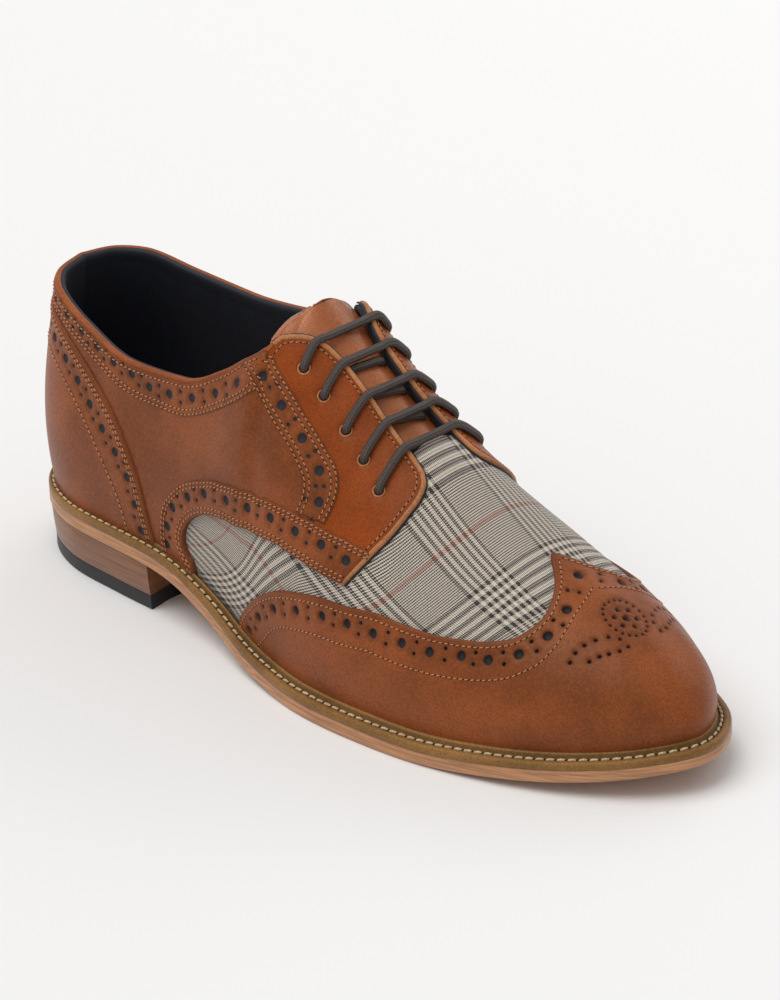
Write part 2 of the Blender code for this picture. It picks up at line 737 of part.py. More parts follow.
def make_lace():
    """Five bars over the facings with four crossings under them, joined."""
    cord = flat_material("lace_cord", (0.045, 0.028, 0.022), 0.5)
    radius = LACE_THICKNESS / 2
    level = CURVE_GAP + OVERLAY_WALL + LACE_LIFT + radius
    pieces = []
    inner = []
    for i, (share, height) in enumerate(EYELETS):
        edge = float(curve(FACING_EDGE, 1, share))
        half = (height + edge) / 2
        outside = [lifted(OUTSIDE, share, h, level) for h in (height, half, edge)]
        inside = [lifted(INSIDE, share, h, level) for h in (edge, half, height)]
        inner.append((outside[-1], inside[0]))
        middle = (outside[-1] + inside[0]) / 2
        pieces.append(tube("lace" if i == 0 else "lace_bar_%d" % (i + 1),
                           outside + [middle] + inside, radius, cord))
    for i in range(len(inner) - 1):
        out = skin_out(OUTSIDE, EYELETS[i][0], 0.99)
        ends = []
        for bar, pull in ((inner[i], CROSS_SPREAD), (inner[i + 1], -CROSS_SPREAD)):
            middle = (bar[0] + bar[1]) / 2
            ends.append(middle + (bar[0] - middle) * pull - out * CROSS_DROP)
        pieces.append(tube("lace_cross_%d" % (i + 1), ends, radius * 0.96, cord))
    for other in pieces[1:]:
        combine(pieces[0], other, "UNION")
    return pieces[0]


def main():
    for item in list(bpy.data.objects):
        bpy.data.objects.remove(item, do_unlink=True)
    tan = (0.36, 0.115, 0.035)
    make_sole()
    make_upper()
    make_quarters(flat_material("quarter_leather", tan, 0.4))
    make_toe_cap(flat_material("toe_leather", tan, 0.4))
    make_counter(flat_material("counter_leather", tan, 0.4))
    make_tongue(flat_material("tongue_leather", tan, 0.45))
    make_lace()


main()
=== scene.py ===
"""Men's wingtip brogue, right foot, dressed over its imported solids.

+X points to the toe, -Y to the outside of the foot, +Z up, in metres. The skin of
the last is read by a signed share of its outline (0 at the heel, -1 and 1 at the toe,
outside and inside) and a height (0 at the feather line, 1 at the collar or crest).
"""
import math

import bpy
import numpy as np
from bpy.props import FloatProperty, FloatVectorProperty, PointerProperty
from mathutils import Matrix, Vector, kdtree
from mathutils.geometry import delaunay_2d_cdt


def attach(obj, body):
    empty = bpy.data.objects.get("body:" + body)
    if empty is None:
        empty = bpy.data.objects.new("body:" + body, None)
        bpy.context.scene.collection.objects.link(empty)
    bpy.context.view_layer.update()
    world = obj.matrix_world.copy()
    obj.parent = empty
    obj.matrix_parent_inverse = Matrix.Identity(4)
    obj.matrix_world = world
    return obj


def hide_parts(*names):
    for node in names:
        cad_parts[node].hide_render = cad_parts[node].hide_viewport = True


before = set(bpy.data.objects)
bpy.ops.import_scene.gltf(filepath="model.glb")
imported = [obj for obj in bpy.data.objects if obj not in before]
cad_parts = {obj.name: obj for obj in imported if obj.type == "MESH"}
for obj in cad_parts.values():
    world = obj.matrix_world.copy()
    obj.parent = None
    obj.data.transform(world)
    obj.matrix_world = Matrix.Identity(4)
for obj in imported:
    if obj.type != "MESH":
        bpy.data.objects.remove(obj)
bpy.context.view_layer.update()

bl_info = {
    "name": "Wingtip brogue",
    "version": (1, 0, 0),
    "blender": (4, 5, 0),
    "location": "3D View > Sidebar > Brogue",
    "description": "Leather, check cloth, welt, sole, heel, lace and studio for one wingtip brogue",
    "category": "Object",
}

LAST_LENGTH = 0.2905
LAST_BACK = -0.14675
BALL_HALF_WIDTH = 0.0455
INSTEP_HEIGHT = 0.125
HEEL_HEIGHT = 0.0175
LIFT_THICKNESS = 0.0056
OUTSOLE_THICKNESS = 0.0050
WELT_THICKNESS = 0.0026
WELT_REACH = 0.0076
HEEL_BREAST = -0.0770
BREAST_HOLLOW = 0.0030
HEEL_TAPER = 0.0012
UPPER_WALL = 0.0020
THROAT_FRONT = 0.603
RIDGE_START = 0.46
FAN_SLOPE = 0.38
OUTSIDE = -1
INSIDE = 1

# feather line: share of last length, outside half width, inside half width (shares of ball half width)
FEATHER = (
    (0.000, 0.000, 0.000),
    (0.009, 0.242, 0.242),
    (0.036, 0.462, 0.462),
    (0.090, 0.626, 0.626),
    (0.179, 0.681, 0.681),
    (0.279, 0.703, 0.637),
    (0.368, 0.758, 0.615),
    (0.454, 0.890, 0.703),
    (0.558, 1.000, 0.879),
    (0.651, 1.000, 0.989),
    (0.740, 0.934, 1.000),
    (0.833, 0.769, 0.879),
    (0.912, 0.538, 0.659),
    (0.974, 0.231, 0.385),
    (1.000, -0.066, 0.066),
)

# underside of the sole: share of last length, share of heel height
ARCH = (
    (-0.021, 1.000),
    (0.196, 1.000),
    (0.244, 0.971),
    (0.286, 0.880),
    (0.334, 0.651),
    (0.382, 0.400),
    (0.430, 0.194),
    (0.485, 0.057),
    (0.547, 0.000),
    (0.719, 0.000),
    (0.823, 0.103),
    (0.926, 0.297),
    (1.033, 0.600),
)

# how far the welt stands out: share of last length, share of welt reach
REACH = (
    (-0.021, 0.605),
    (0.196, 0.605),
    (0.334, 0.684),
    (0.472, 0.868),
    (0.609, 0.974),
    (1.033, 1.000),
)

# columns of the last, heel to toe:
# share of the outline; top end: share of length, outside and inside half width, outside and inside height;
# foot handle: up, out; top handle: out, down, turn (-1 points to the heel, 1 to the toe)
COLUMNS = (
    (0.00, 0.012, 0.000, 0.000, 0.808, 0.808, 0.272, 0.143, 0.044, 0.208, -1.00),
    (0.05, 0.021, 0.242, 0.242, 0.804, 0.804, 0.272, 0.132, 0.044, 0.208, -0.75),
    (0.10, 0.052, 0.440, 0.440, 0.788, 0.796, 0.264, 0.110, 0.044, 0.208, -0.45),
    (0.16, 0.114, 0.538, 0.560, 0.744, 0.764, 0.248, 0.088, 0.055, 0.200, -0.10),
    (0.23, 0.203, 0.593, 0.615, 0.700, 0.748, 0.232, 0.077, 0.055, 0.200, 0.00),
    (0.29, 0.293, 0.593, 0.593, 0.716, 0.772, 0.232, 0.077, 0.088, 0.200, 0.00),
    (0.34, 0.358, 0.549, 0.549, 0.788, 0.820, 0.240, 0.077, 0.198, 0.196, 0.00),
    (0.38, 0.394, 0.473, 0.473, 0.872, 0.876, 0.262, 0.066, 0.330, 0.176, 0.00),
    (0.42, 0.417, 0.297, 0.297, 0.952, 0.952, 0.278, 0.055, 0.505, 0.112, 0.00),
    (0.46, 0.431, 0.000, 0.000, 1.000, 1.000, 0.282, 0.055, 0.670, 0.008, 0.00),
    (0.52, 0.506, 0.000, 0.000, 0.862, 0.862, 0.270, 0.075, 0.610, 0.000, 0.00),
    (0.58, 0.575, 0.000, 0.000, 0.736, 0.736, 0.248, 0.105, 0.560, 0.000, 0.00),
    (0.64, 0.644, 0.000, 0.000, 0.636, 0.636, 0.216, 0.132, 0.538, 0.000, 0.00),
    (0.71, 0.713, 0.000, 0.000, 0.554, 0.554, 0.192, 0.132, 0.549, 0.000, 0.00),
    (0.78, 0.781, 0.000, 0.000, 0.484, 0.484, 0.168, 0.132, 0.527, 0.000, 0.00),
    (0.85, 0.850, 0.000, 0.000, 0.420, 0.420, 0.144, 0.132, 0.462, 0.000, 0.02),
    (0.90, 0.857, 0.000, 0.000, 0.414, 0.414, 0.132, 0.132, 0.462, 0.000, 0.30),
    (0.95, 0.857, 0.000, 0.000, 0.414, 0.414, 0.128, 0.143, 0.527, 0.000, 0.62),
    (1.00, 0.857, 0.000, 0.000, 0.414, 0.414, 0.128, 0.143, 0.571, 0.000, 1.00),
)

# sideways run of the crest: share of last length, share of ball half width
CREST = (
    (0.300, 0.000),
    (0.506, 0.000),
    (0.713, 0.055),
    (0.857, 0.088),
    (1.000, 0.088),
)

# lines of the side, as share of the outline and height on the column
TOP_LINE = (
    (0.000, 1.000), (0.100, 1.000), (0.200, 1.000), (0.290, 1.000), (0.330, 0.999), (0.365, 0.972),
    (0.392, 0.918), (0.405, 0.884), (0.422, 0.850), (0.435, 0.824), (0.449, 0.794), (0.461, 0.786),
    (0.468, 0.797), (0.474, 0.811), (0.481, 0.832), (0.489, 0.855), (0.499, 0.876), (0.510, 0.887),
    (0.530, 0.891), (0.550, 0.888), (0.588, 0.872), (0.608, 0.862), (0.621, 0.850),
)
FRONT_LINE = (
    (0.621, 0.850), (0.629, 0.823), (0.633, 0.767), (0.631, 0.697), (0.625, 0.610), (0.615, 0.533),
    (0.604, 0.463), (0.590, 0.387),
)
LOW_LINE = (
    (0.590, 0.387), (0.577, 0.380), (0.565, 0.372), (0.551, 0.367), (0.537, 0.362), (0.523, 0.355), (0.508, 0.348),
    (0.493, 0.338), (0.477, 0.325), (0.458, 0.315), (0.436, 0.323), (0.415, 0.330), (0.391, 0.340), (0.368, 0.340),
    (0.347, 0.323), (0.331, 0.268), (0.322, 0.198), (0.320, 0.138), (0.325, 0.095), (0.333, 0.072), (0.336, 0.000),
)
UNDER_COUNTER = (
    (0.262, 0.000), (0.252, 0.200), (0.224, 0.520), (0.190, 0.730), (0.150, 0.815), (0.090, 0.870), (0.000, 0.885),
)
BAND_LINE = (
    (0.285, 0.000), (0.284, 0.095), (0.285, 0.160), (0.287, 0.233), (0.293, 0.315), (0.303, 0.390), (0.317, 0.448),
    (0.336, 0.478), (0.358, 0.485), (0.384, 0.465), (0.412, 0.440), (0.435, 0.417), (0.459, 0.400), (0.478, 0.413),
    (0.494, 0.427), (0.508, 0.443), (0.523, 0.455), (0.537, 0.468), (0.552, 0.478), (0.566, 0.487), (0.579, 0.500),
    (0.593, 0.508), (0.606, 0.518), (0.612, 0.523),
)
BAND_HOLES = (
    (0.293, 0.070), (0.296, 0.168), (0.304, 0.288), (0.326, 0.383), (0.353, 0.427), (0.400, 0.403), (0.444, 0.372),
    (0.486, 0.385), (0.520, 0.413), (0.556, 0.440), (0.589, 0.455),
)
COLLAR_LINE = (
    (0.000, 0.905), (0.100, 0.900), (0.165, 0.882), (0.195, 0.867), (0.221, 0.845), (0.237, 0.833),
    (0.254, 0.828), (0.269, 0.825), (0.286, 0.818), (0.305, 0.818), (0.325, 0.815), (0.348, 0.805), (0.377, 0.768),
    (0.408, 0.720), (0.430, 0.693), (0.442, 0.672),
)
COLLAR_HOLES = (
    (0.021, 0.955), (0.063, 0.956), (0.097, 0.956), (0.129, 0.956), (0.157, 0.957), (0.183, 0.957), (0.208, 0.955),
    (0.232, 0.950), (0.253, 0.917), (0.276, 0.915), (0.304, 0.915), (0.335, 0.900), (0.376, 0.855),
)
STAY_BACK = (
    (0.372, 0.950), (0.384, 0.897), (0.395, 0.850), (0.416, 0.758), (0.430, 0.693), (0.446, 0.628), (0.464, 0.595),
    (0.473, 0.585), (0.482, 0.578), (0.490, 0.573), (0.497, 0.568), (0.504, 0.560), (0.511, 0.552), (0.518, 0.540),
    (0.521, 0.517), (0.520, 0.487), (0.517, 0.458),
)
STAY_FRONT = (
    (0.425, 0.838), (0.431, 0.805), (0.437, 0.772), (0.462, 0.705), (0.473, 0.695), (0.481, 0.688), (0.489, 0.682),
    (0.496, 0.677), (0.502, 0.672), (0.510, 0.670), (0.518, 0.665), (0.526, 0.660), (0.535, 0.652), (0.543, 0.647),
    (0.551, 0.635), (0.556, 0.615), (0.559, 0.588), (0.559, 0.557), (0.557, 0.525), (0.554, 0.492),
)
STAY_HOLES = (
    (0.437, 0.713), (0.481, 0.633), (0.507, 0.618), (0.533, 0.593), (0.542, 0.527),
)
COUNTER_LINE = (
    (0.000, 0.910), (0.060, 0.905), (0.110, 0.885), (0.160, 0.825), (0.205, 0.705), (0.237, 0.480),
    (0.254, 0.300), (0.266, 0.120), (0.274, 0.000),
)
COUNTER_HOLES = (
    (0.000, 0.800), (0.038, 0.798), (0.074, 0.791), (0.106, 0.773), (0.133, 0.739), (0.156, 0.688), (0.177, 0.616),
    (0.197, 0.533), (0.217, 0.442), (0.235, 0.322), (0.246, 0.185), (0.252, 0.060),
)
COUNTER_INNER = (
    (0.000, 0.710), (0.060, 0.705), (0.105, 0.680), (0.145, 0.600), (0.180, 0.450), (0.204, 0.300), (0.220, 0.170),
    (0.231, 0.000),
)
EYELETS = ((0.490, 0.760), (0.512, 0.757), (0.543, 0.742), (0.570, 0.722), (0.596, 0.688))
STAY_MIDDLE = (
    (0.405, 0.884), (0.437, 0.713), (0.481, 0.633), (0.507, 0.618), (0.533, 0.593), (0.542, 0.527), (0.534, 0.450),
    (0.530, 0.358),
)

# crossings of the lace in the throat: share and height on the outside, then on the inside
CROSSINGS = (
    (0.518, 0.900, 0.523, 0.945),
    (0.544, 0.900, 0.551, 0.945),
    (0.568, 0.885, 0.577, 0.945),
    (0.597, 0.875, 0.605, 0.925),
)

# lines of the crown, as share of the outline and height on the column
WING_LINE = (
    (0.416, 0.000), (0.420, 0.040), (0.431, 0.088), (0.452, 0.147), (0.484, 0.208), (0.511, 0.250), (0.560, 0.305),
    (0.603, 0.343), (0.636, 0.380), (0.659, 0.393), (0.700, 0.417), (0.738, 0.450), (0.774, 0.495), (0.797, 0.550),
    (0.810, 0.630), (0.816, 0.715), (0.811, 0.830), (0.801, 0.905), (0.778, 1.000),
)
WING_HOLES = (
    (0.442, 0.045), (0.464, 0.118), (0.494, 0.180), (0.532, 0.230), (0.571, 0.268), (0.605, 0.297), (0.639, 0.320),
    (0.676, 0.343), (0.711, 0.362), (0.748, 0.400), (0.779, 0.427), (0.808, 0.503), (0.829, 0.638), (0.833, 0.802),
    (0.813, 1.000),
)
# pinholes of the leaf beside the rosette
LEAF_HOLES = (
    (0.937, 0.755), (0.909, 0.715), (0.889, 0.670), (0.878, 0.613), (0.873, 0.555), (0.899, 0.588), (0.916, 0.628),
    (0.932, 0.655), (0.950, 0.680), (0.966, 0.705), (0.958, 0.750),
)
# lower border of the tongue
TONGUE_LINE = (
    (0.395, 0.985), (0.412, 0.900), (0.432, 0.800), (0.460, 0.730), (0.500, 0.700), (0.640, 0.715),
)


# Shape of the last
def curve(rows, column, at):
    """Smooth, never overshooting curve through one column of a table."""
    keys = np.array([row[0] for row in rows])
    values = np.array([row[column] for row in rows])
    at = np.clip(np.asarray(at, float), keys[0], keys[-1])
    gaps = np.diff(keys)
    rise = np.diff(values) / gaps
    slope = np.zeros(len(keys))
    slope[0] = rise[0]
    slope[-1] = rise[-1]
    for i in range(1, len(keys) - 1):
        if rise[i - 1] * rise[i] > 0:
            first = 2 * gaps[i] + gaps[i - 1]
            second = gaps[i] + 2 * gaps[i - 1]
            slope[i] = (first + second) / (first / rise[i - 1] + second / rise[i])
    i = np.clip(np.searchsorted(keys, at, side="right") - 1, 0, len(gaps) - 1)
    t = (at - keys[i]) / gaps[i]
    ends = (1 + 2 * t) * (1 - t) ** 2 * values[i] + t * t * (3 - 2 * t) * values[i + 1]
    bends = t * (1 - t) ** 2 * slope[i] + t * t * (t - 1) * slope[i + 1]
    return ends + gaps[i] * bends


def spline(points, count=14, closed=False):
    """Centripetal curve through plan or space points."""
    points = np.asarray(points, float)
    if closed:
        hull = np.vstack([points[-1], points, points[0], points[1]])
    else:
        hull = np.vstack([2 * points[0] - points[1], points, 2 * points[-1] - points[-2]])
    dense = []
    for i in range(1, len(hull) - 2):
        p0, p1, p2, p3 = hull[i - 1:i + 3]
        t1 = math.sqrt(np.linalg.norm(p1 - p0)) + 1e-9
        t2 = t1 + math.sqrt(np.linalg.norm(p2 - p1)) + 1e-9
        t3 = t2 + math.sqrt(np.linalg.norm(p3 - p2)) + 1e-9
        t = np.linspace(t1, t2, count, endpoint=False)[:, None]
        a1 = (t1 - t) / t1 * p0 + t / t1 * p1
        a2 = (t2 - t) / (t2 - t1) * p1 + (t - t1) / (t2 - t1) * p2
        a3 = (t3 - t) / (t3 - t2) * p2 + (t - t2) / (t3 - t2) * p3
        b1 = (t2 - t) / t2 * a1 + t / t2 * a2
        b2 = (t3 - t) / (t3 - t1) * a2 + (t - t1) / (t3 - t1) * a3
        dense.append((t2 - t) / (t2 - t1) * b1 + (t - t1) / (t2 - t1) * b2)
    if not closed:
        dense.append(points[-1:])
    return np.vstack(dense)


def length_along(points):
    """Length run at each point of a path."""
    return np.concatenate([[0.0], np.cumsum(np.linalg.norm(np.diff(points, axis=0), axis=1))])


def length_share(x):
    """Share of the last's length at a place along it."""
    return (x - LAST_BACK) / LAST_LENGTH


def underside(x):
    """Height of the underside of the outsole."""
    return HEEL_HEIGHT * curve(ARCH, 1, length_share(x))


def reach(x):
    """How far the welt stands out from the feather line."""
    return WELT_REACH * curve(REACH, 1, length_share(x))


def feather_line(side):
    """Dense points of one side of the feather line with their share of its length."""
    points = []
    for share, outside, inside in FEATHER:
        half = -outside if side == OUTSIDE else inside
        points.append((LAST_BACK + LAST_LENGTH * share, BALL_HALF_WIDTH * half))
    points = np.array(points)
    before = (points[1, 0], -points[1, 1])
    after = (points[-2, 0], 2 * points[-1, 1] - points[-2, 1])
    dense = spline(np.vstack([before, points, after]), 16)
    dense = dense[16:-16]
    run = length_along(dense)
    return dense, run / run[-1]


LINES = {side: feather_line(side) for side in (OUTSIDE, INSIDE)}


def feather(s, grow=0.0):
    """Plan point of the feather line, moved out by grow, and its outward direction."""
    s = np.asarray(s, float)
    share = np.abs(s)
    found = []
    for side in (OUTSIDE, INSIDE):
        dense, run = LINES[side]
        back = np.clip(share - 0.004, 0, 1)
        front = np.clip(share + 0.004, 0, 1)
        x = np.interp(share, run, dense[:, 0])
        y = np.interp(share, run, dense[:, 1])
        run_x = np.interp(front, run, dense[:, 0]) - np.interp(back, run, dense[:, 0])
        run_y = np.interp(front, run, dense[:, 1]) - np.interp(back, run, dense[:, 1])
        long = np.hypot(run_x, run_y)
        out_x = np.where(share <= 0, -1.0, np.where(share >= 1, 1.0, -side * run_y / long))
        out_y = np.where((share <= 0) | (share >= 1), 0.0, side * run_x / long)
        found.append((x + out_x * grow, y + out_y * grow, out_x, out_y))
    return tuple(np.where(s < 0, a, b) for a, b in zip(*found))


def skin(s, height):
    """Point of the last's skin, with no relief."""
    s, height = np.broadcast_arrays(np.asarray(s, float), np.asarray(height, float))
    share = np.abs(s)
    side = np.where(s < 0, -1.0, 1.0)
    x, y, out_x, out_y = feather(s)
    z = underside(x) + OUTSOLE_THICKNESS + WELT_THICKNESS - 0.001
    half = np.where(s < 0, curve(COLUMNS, 2, share), curve(COLUMNS, 3, share))
    tall = np.where(s < 0, curve(COLUMNS, 4, share), curve(COLUMNS, 5, share))
    top_x = LAST_BACK + LAST_LENGTH * curve(COLUMNS, 1, share)
    top_y = side * BALL_HALF_WIDTH * half + BALL_HALF_WIDTH * curve(CREST, 1, length_share(top_x))
    top_z = INSTEP_HEIGHT * tall
    foot_up = INSTEP_HEIGHT * curve(COLUMNS, 6, share)
    foot_out = BALL_HALF_WIDTH * curve(COLUMNS, 7, share)
    top_out = BALL_HALF_WIDTH * curve(COLUMNS, 8, share)
    top_down = INSTEP_HEIGHT * curve(COLUMNS, 9, share)
    turn = curve(COLUMNS, 10, share) * math.pi / 2
    fall = np.where(turn > 0, FAN_SLOPE, 0.0) * top_out * np.sin(turn)
    foot = np.stack([x, y, z], -1)
    low = np.stack([x + out_x * foot_out, y + out_y * foot_out, z + foot_up], -1)
    top = np.stack([top_x, top_y, top_z], -1)
    high = np.stack([top_x + top_out * np.sin(turn), top_y + side * top_out * np.cos(turn),
                     top_z - top_down - fall], -1)
    t = np.clip(height, 0, 1)[..., None]
    point = (1 - t) ** 3 * foot + 3 * (1 - t) ** 2 * t * low + 3 * (1 - t) * t * t * high + t ** 3 * top
    return point + np.minimum(height, 0.0)[..., None] * np.array([0.0, 0.0, 0.04])


def unit(vectors):
    """Vectors brought to length one."""
    return vectors / np.maximum(np.linalg.norm(vectors, axis=-1, keepdims=True), 1e-12)


def outward(s, height):
    """Direction out of the skin."""
    s, height = np.broadcast_arrays(np.asarray(s, float), np.asarray(height, float))
    top = np.where(np.abs(s) > RIDGE_START, 0.985, 0.999)
    height = np.clip(height, 0.0, top)

    def wrap(value):
        value = np.where(value > 1, value - 2, value)
        return np.where(value < -1, value + 2, value)

    along = skin(wrap(s + 0.003), height) - skin(wrap(s - 0.003), height)
    up = skin(s, np.minimum(height + 0.004, 1.0)) - skin(s, np.maximum(height - 0.004, 0.0))
    return unit(np.cross(up, along))


# soft creases and hollows of the upper: signed share, height, half length and half width as
# shares and heights, slant, and depth in millimetres
CREASES = (
    (-0.70, 0.80, 0.020, 0.30, 0.35, -0.10),
    (0.70, 0.80, 0.020, 0.30, 0.35, -0.10),
)


def relief(s, height):
    """Lift of the skin by its soft creases, in metres."""
    total = np.zeros(np.broadcast(s, height).shape)
    for at, level, long, wide, slant, depth in CREASES:
        a = (s - at - slant * (height - level) * 0.2) / long
        b = (height - level) / wide
        total = total + depth * 0.001 * np.exp(-a * a - b * b)
    return total


def place(s, height, lift=0.0):
    """Point over the skin at a lift in metres."""
    out = outward(s, height)
    return skin(s, height) + out * (np.asarray(lift) + relief(s, height))[..., None]


# Flat charts that panels are cut on
CHART_LONG = 0.33
CHART_TALL = 0.085
PALM = 0.080
POLE = 0.857


def side_lay(s, height):
    """Spots of the side's chart: the outline unrolled, with the height across it."""
    return np.stack([-np.asarray(s) * CHART_LONG, np.asarray(height) * CHART_TALL], -1)


def side_read(spots):
    """Signed share and height of spots on the side's chart."""
    return -spots[..., 0] / CHART_LONG, spots[..., 1] / CHART_TALL


def fan(share):
    """Where a column stands on the crest, and how far it turns to the toe."""
    eased = 0.02 * np.clip((share - 0.8) / 0.05, 0, 1)
    angle = np.where(share > 0.85, curve(COLUMNS, 10, np.maximum(share, 0.85)), eased)
    return LAST_LENGTH * np.minimum(share, POLE), angle * math.pi / 2


def crest_lay(s, height):
    """Spots of the crown's chart: the crest as its axis, fanned out round the toe."""
    s = np.asarray(s, float)
    base, angle = fan(np.abs(s))
    radius = (1 - np.asarray(height)) * PALM
    return np.stack([base + radius * np.sin(angle), np.where(s < 0, -1.0, 1.0) * radius * np.cos(angle)], -1)


def crest_read(spots):
    """Signed share and height of spots on the crown's chart."""
    x = spots[..., 0]
    y = np.abs(spots[..., 1])
    low = np.full(x.shape, 0.2)
    high = np.full(x.shape, 1.0)
    for _ in range(26):
        middle = (low + high) / 2
        base, angle = fan(middle)
        ahead = (x - base) * np.cos(angle) - y * np.sin(angle) > 0
        low = np.where(ahead, middle, low)
        high = np.where(ahead, high, middle)
    share = (low + high) / 2
    base, angle = fan(share)
    radius = (x - base) * np.sin(angle) + y * np.cos(angle)
    return np.where(spots[..., 1] < 0, -share, share), 1 - radius / PALM


SIDE = (side_lay, side_read)
CROWN = (crest_lay, crest_read)


def lay(chart, side, rows, count=14):
    """Smooth line on a chart through points of the outline on one side."""
    rows = np.array(rows)
    return spline(chart[0](rows[:, 0] * side, rows[:, 1]), count)


def on_chart(chart, spots, lift=0.0):
    """Space points of chart spots at a lift over the skin."""
    s, height = chart[1](spots)
    return place(s, height, lift)


def grid_vectors(chart, spots):
    """The two chart directions as space vectors, and the outward direction."""
    step = 2e-4
    if chart is SIDE:
        spots = np.stack([spots[..., 0], np.clip(spots[..., 1], 2 * step, CHART_TALL - 2 * step)], -1)
    right = np.array([step, 0.0])
    up = np.array([0.0, step])
    u = (skin(*chart[1](spots + right)) - skin(*chart[1](spots - right))) / (2 * step)
    v = (skin(*chart[1](spots + up)) - skin(*chart[1](spots - up))) / (2 * step)
    return u, v, outward(*chart[1](spots))


def shift(chart, spots, moves, vectors=None):
    """Chart spots moved by space vectors that lie in the skin."""
    u, v, _ = vectors or grid_vectors(chart, spots)
    uu = (u * u).sum(-1)
    vv = (v * v).sum(-1)
    uv = (u * v).sum(-1)
    mu = (moves * u).sum(-1)
    mv = (moves * v).sum(-1)
    area = np.maximum(uu * vv - uv * uv, 1e-4)
    return spots + np.stack([(mu * vv - mv * uv) / area, (mv * uu - mu * uv) / area], -1)


def beside(chart, line, distance, closed=False):
    """Line moved to its left over the skin."""
    points = skin(*chart[1](line))
    if closed:
        along = np.roll(points, -1, 0) - np.roll(points, 1, 0)
    else:
        along = np.gradient(points, axis=0)
    out = outward(*chart[1](line))
    left = unit(np.cross(out, along))
    return shift(chart, line, left * distance)


def pace(chart, line, pitch, closed=False, spare=0.0):
    """Line read again at even steps over the skin."""
    if closed:
        line = np.vstack([line, line[:1]])
    run = length_along(skin(*chart[1](line)))
    count = max(2, int(round((run[-1] - 2 * spare) / pitch)))
    at = np.linspace(spare, run[-1] - spare, count + 1)
    if closed:
        at = at[:-1]
    return np.stack([np.interp(at, run, line[:, 0]), np.interp(at, run, line[:, 1])], -1)


def within(spots, loop):
    """Whether chart spots lie inside a closed loop."""
    inside = np.zeros(len(spots), bool)
    after = np.roll(loop, -1, 0)
    for start in range(0, len(loop), 64):
        x0, y0 = loop[start:start + 64].T[:, :, None]
        x1, y1 = after[start:start + 64].T[:, :, None]
        cross = (spots[:, 1] < y0) != (spots[:, 1] < y1)
        level = np.where(y1 == y0, 1.0, y1 - y0)
        at = x0 + (spots[:, 1] - y0) * (x1 - x0) / level
        inside ^= (cross & (spots[:, 0] < at)).sum(0) % 2 == 1
    return inside


# Meshes
def mesh_piece(name, points, faces, materials, node=None, marks=None, uv=None, wear=None):
    """Mesh object that rides on the shoe and takes a slot's finish."""
    mesh = bpy.data.meshes.new(name)
    mesh.from_pydata(np.asarray(points, float).tolist(), [], [list(map(int, f)) for f in faces])
    for material in materials:
        mesh.materials.append(material)
    mesh.polygons.foreach_set("use_smooth", [True] * len(mesh.polygons))
    if marks is not None:
        mesh.polygons.foreach_set("material_index", [int(m) for m in marks])
    if uv is not None:
        layer = mesh.uv_layers.new(name="UVMap")
        corners = np.zeros(len(mesh.loops), int)
        mesh.loops.foreach_get("vertex_index", corners)
        layer.data.foreach_set("uv", np.asarray(uv, float)[corners].ravel())
    if wear is not None:
        layer = mesh.attributes.new("wear", "FLOAT", "POINT")
        layer.data.foreach_set("value", np.asarray(wear, float))
    mesh.update()
    item = bpy.data.objects.new(name, mesh)
    bpy.context.scene.collection.objects.link(item)
    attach(item, "root")
    if node:
        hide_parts(node)
    return item


def rings_round(chart, spots, radii, count):
    """Chart loops that are circles over the skin."""
    u, v, out = grid_vectors(chart, spots)
    across = unit(u)
    other = np.cross(out, across)
    turn = np.arange(count) * 2 * math.pi / count
    moves = np.cos(turn)[None, :, None] * across[:, None] + np.sin(turn)[None, :, None] * other[:, None]
    moves = moves * np.asarray(radii)[:, None, None]
    vectors = (u[:, None], v[:, None], out)
    return shift(chart, np.repeat(spots[:, None], count, 1), moves, vectors)


# sides of a large hole and of a pinhole, and the radius that tells them apart
LARGE_SIDES = 14
PIN_SIDES = 9
LARGE_RADIUS = 0.001
# how far a hole's lip is rounded, and how far it drops
LIP_WIDTH = 0.00035
LIP_DROP = 0.00028
OUTLINE_PITCH = 0.0009


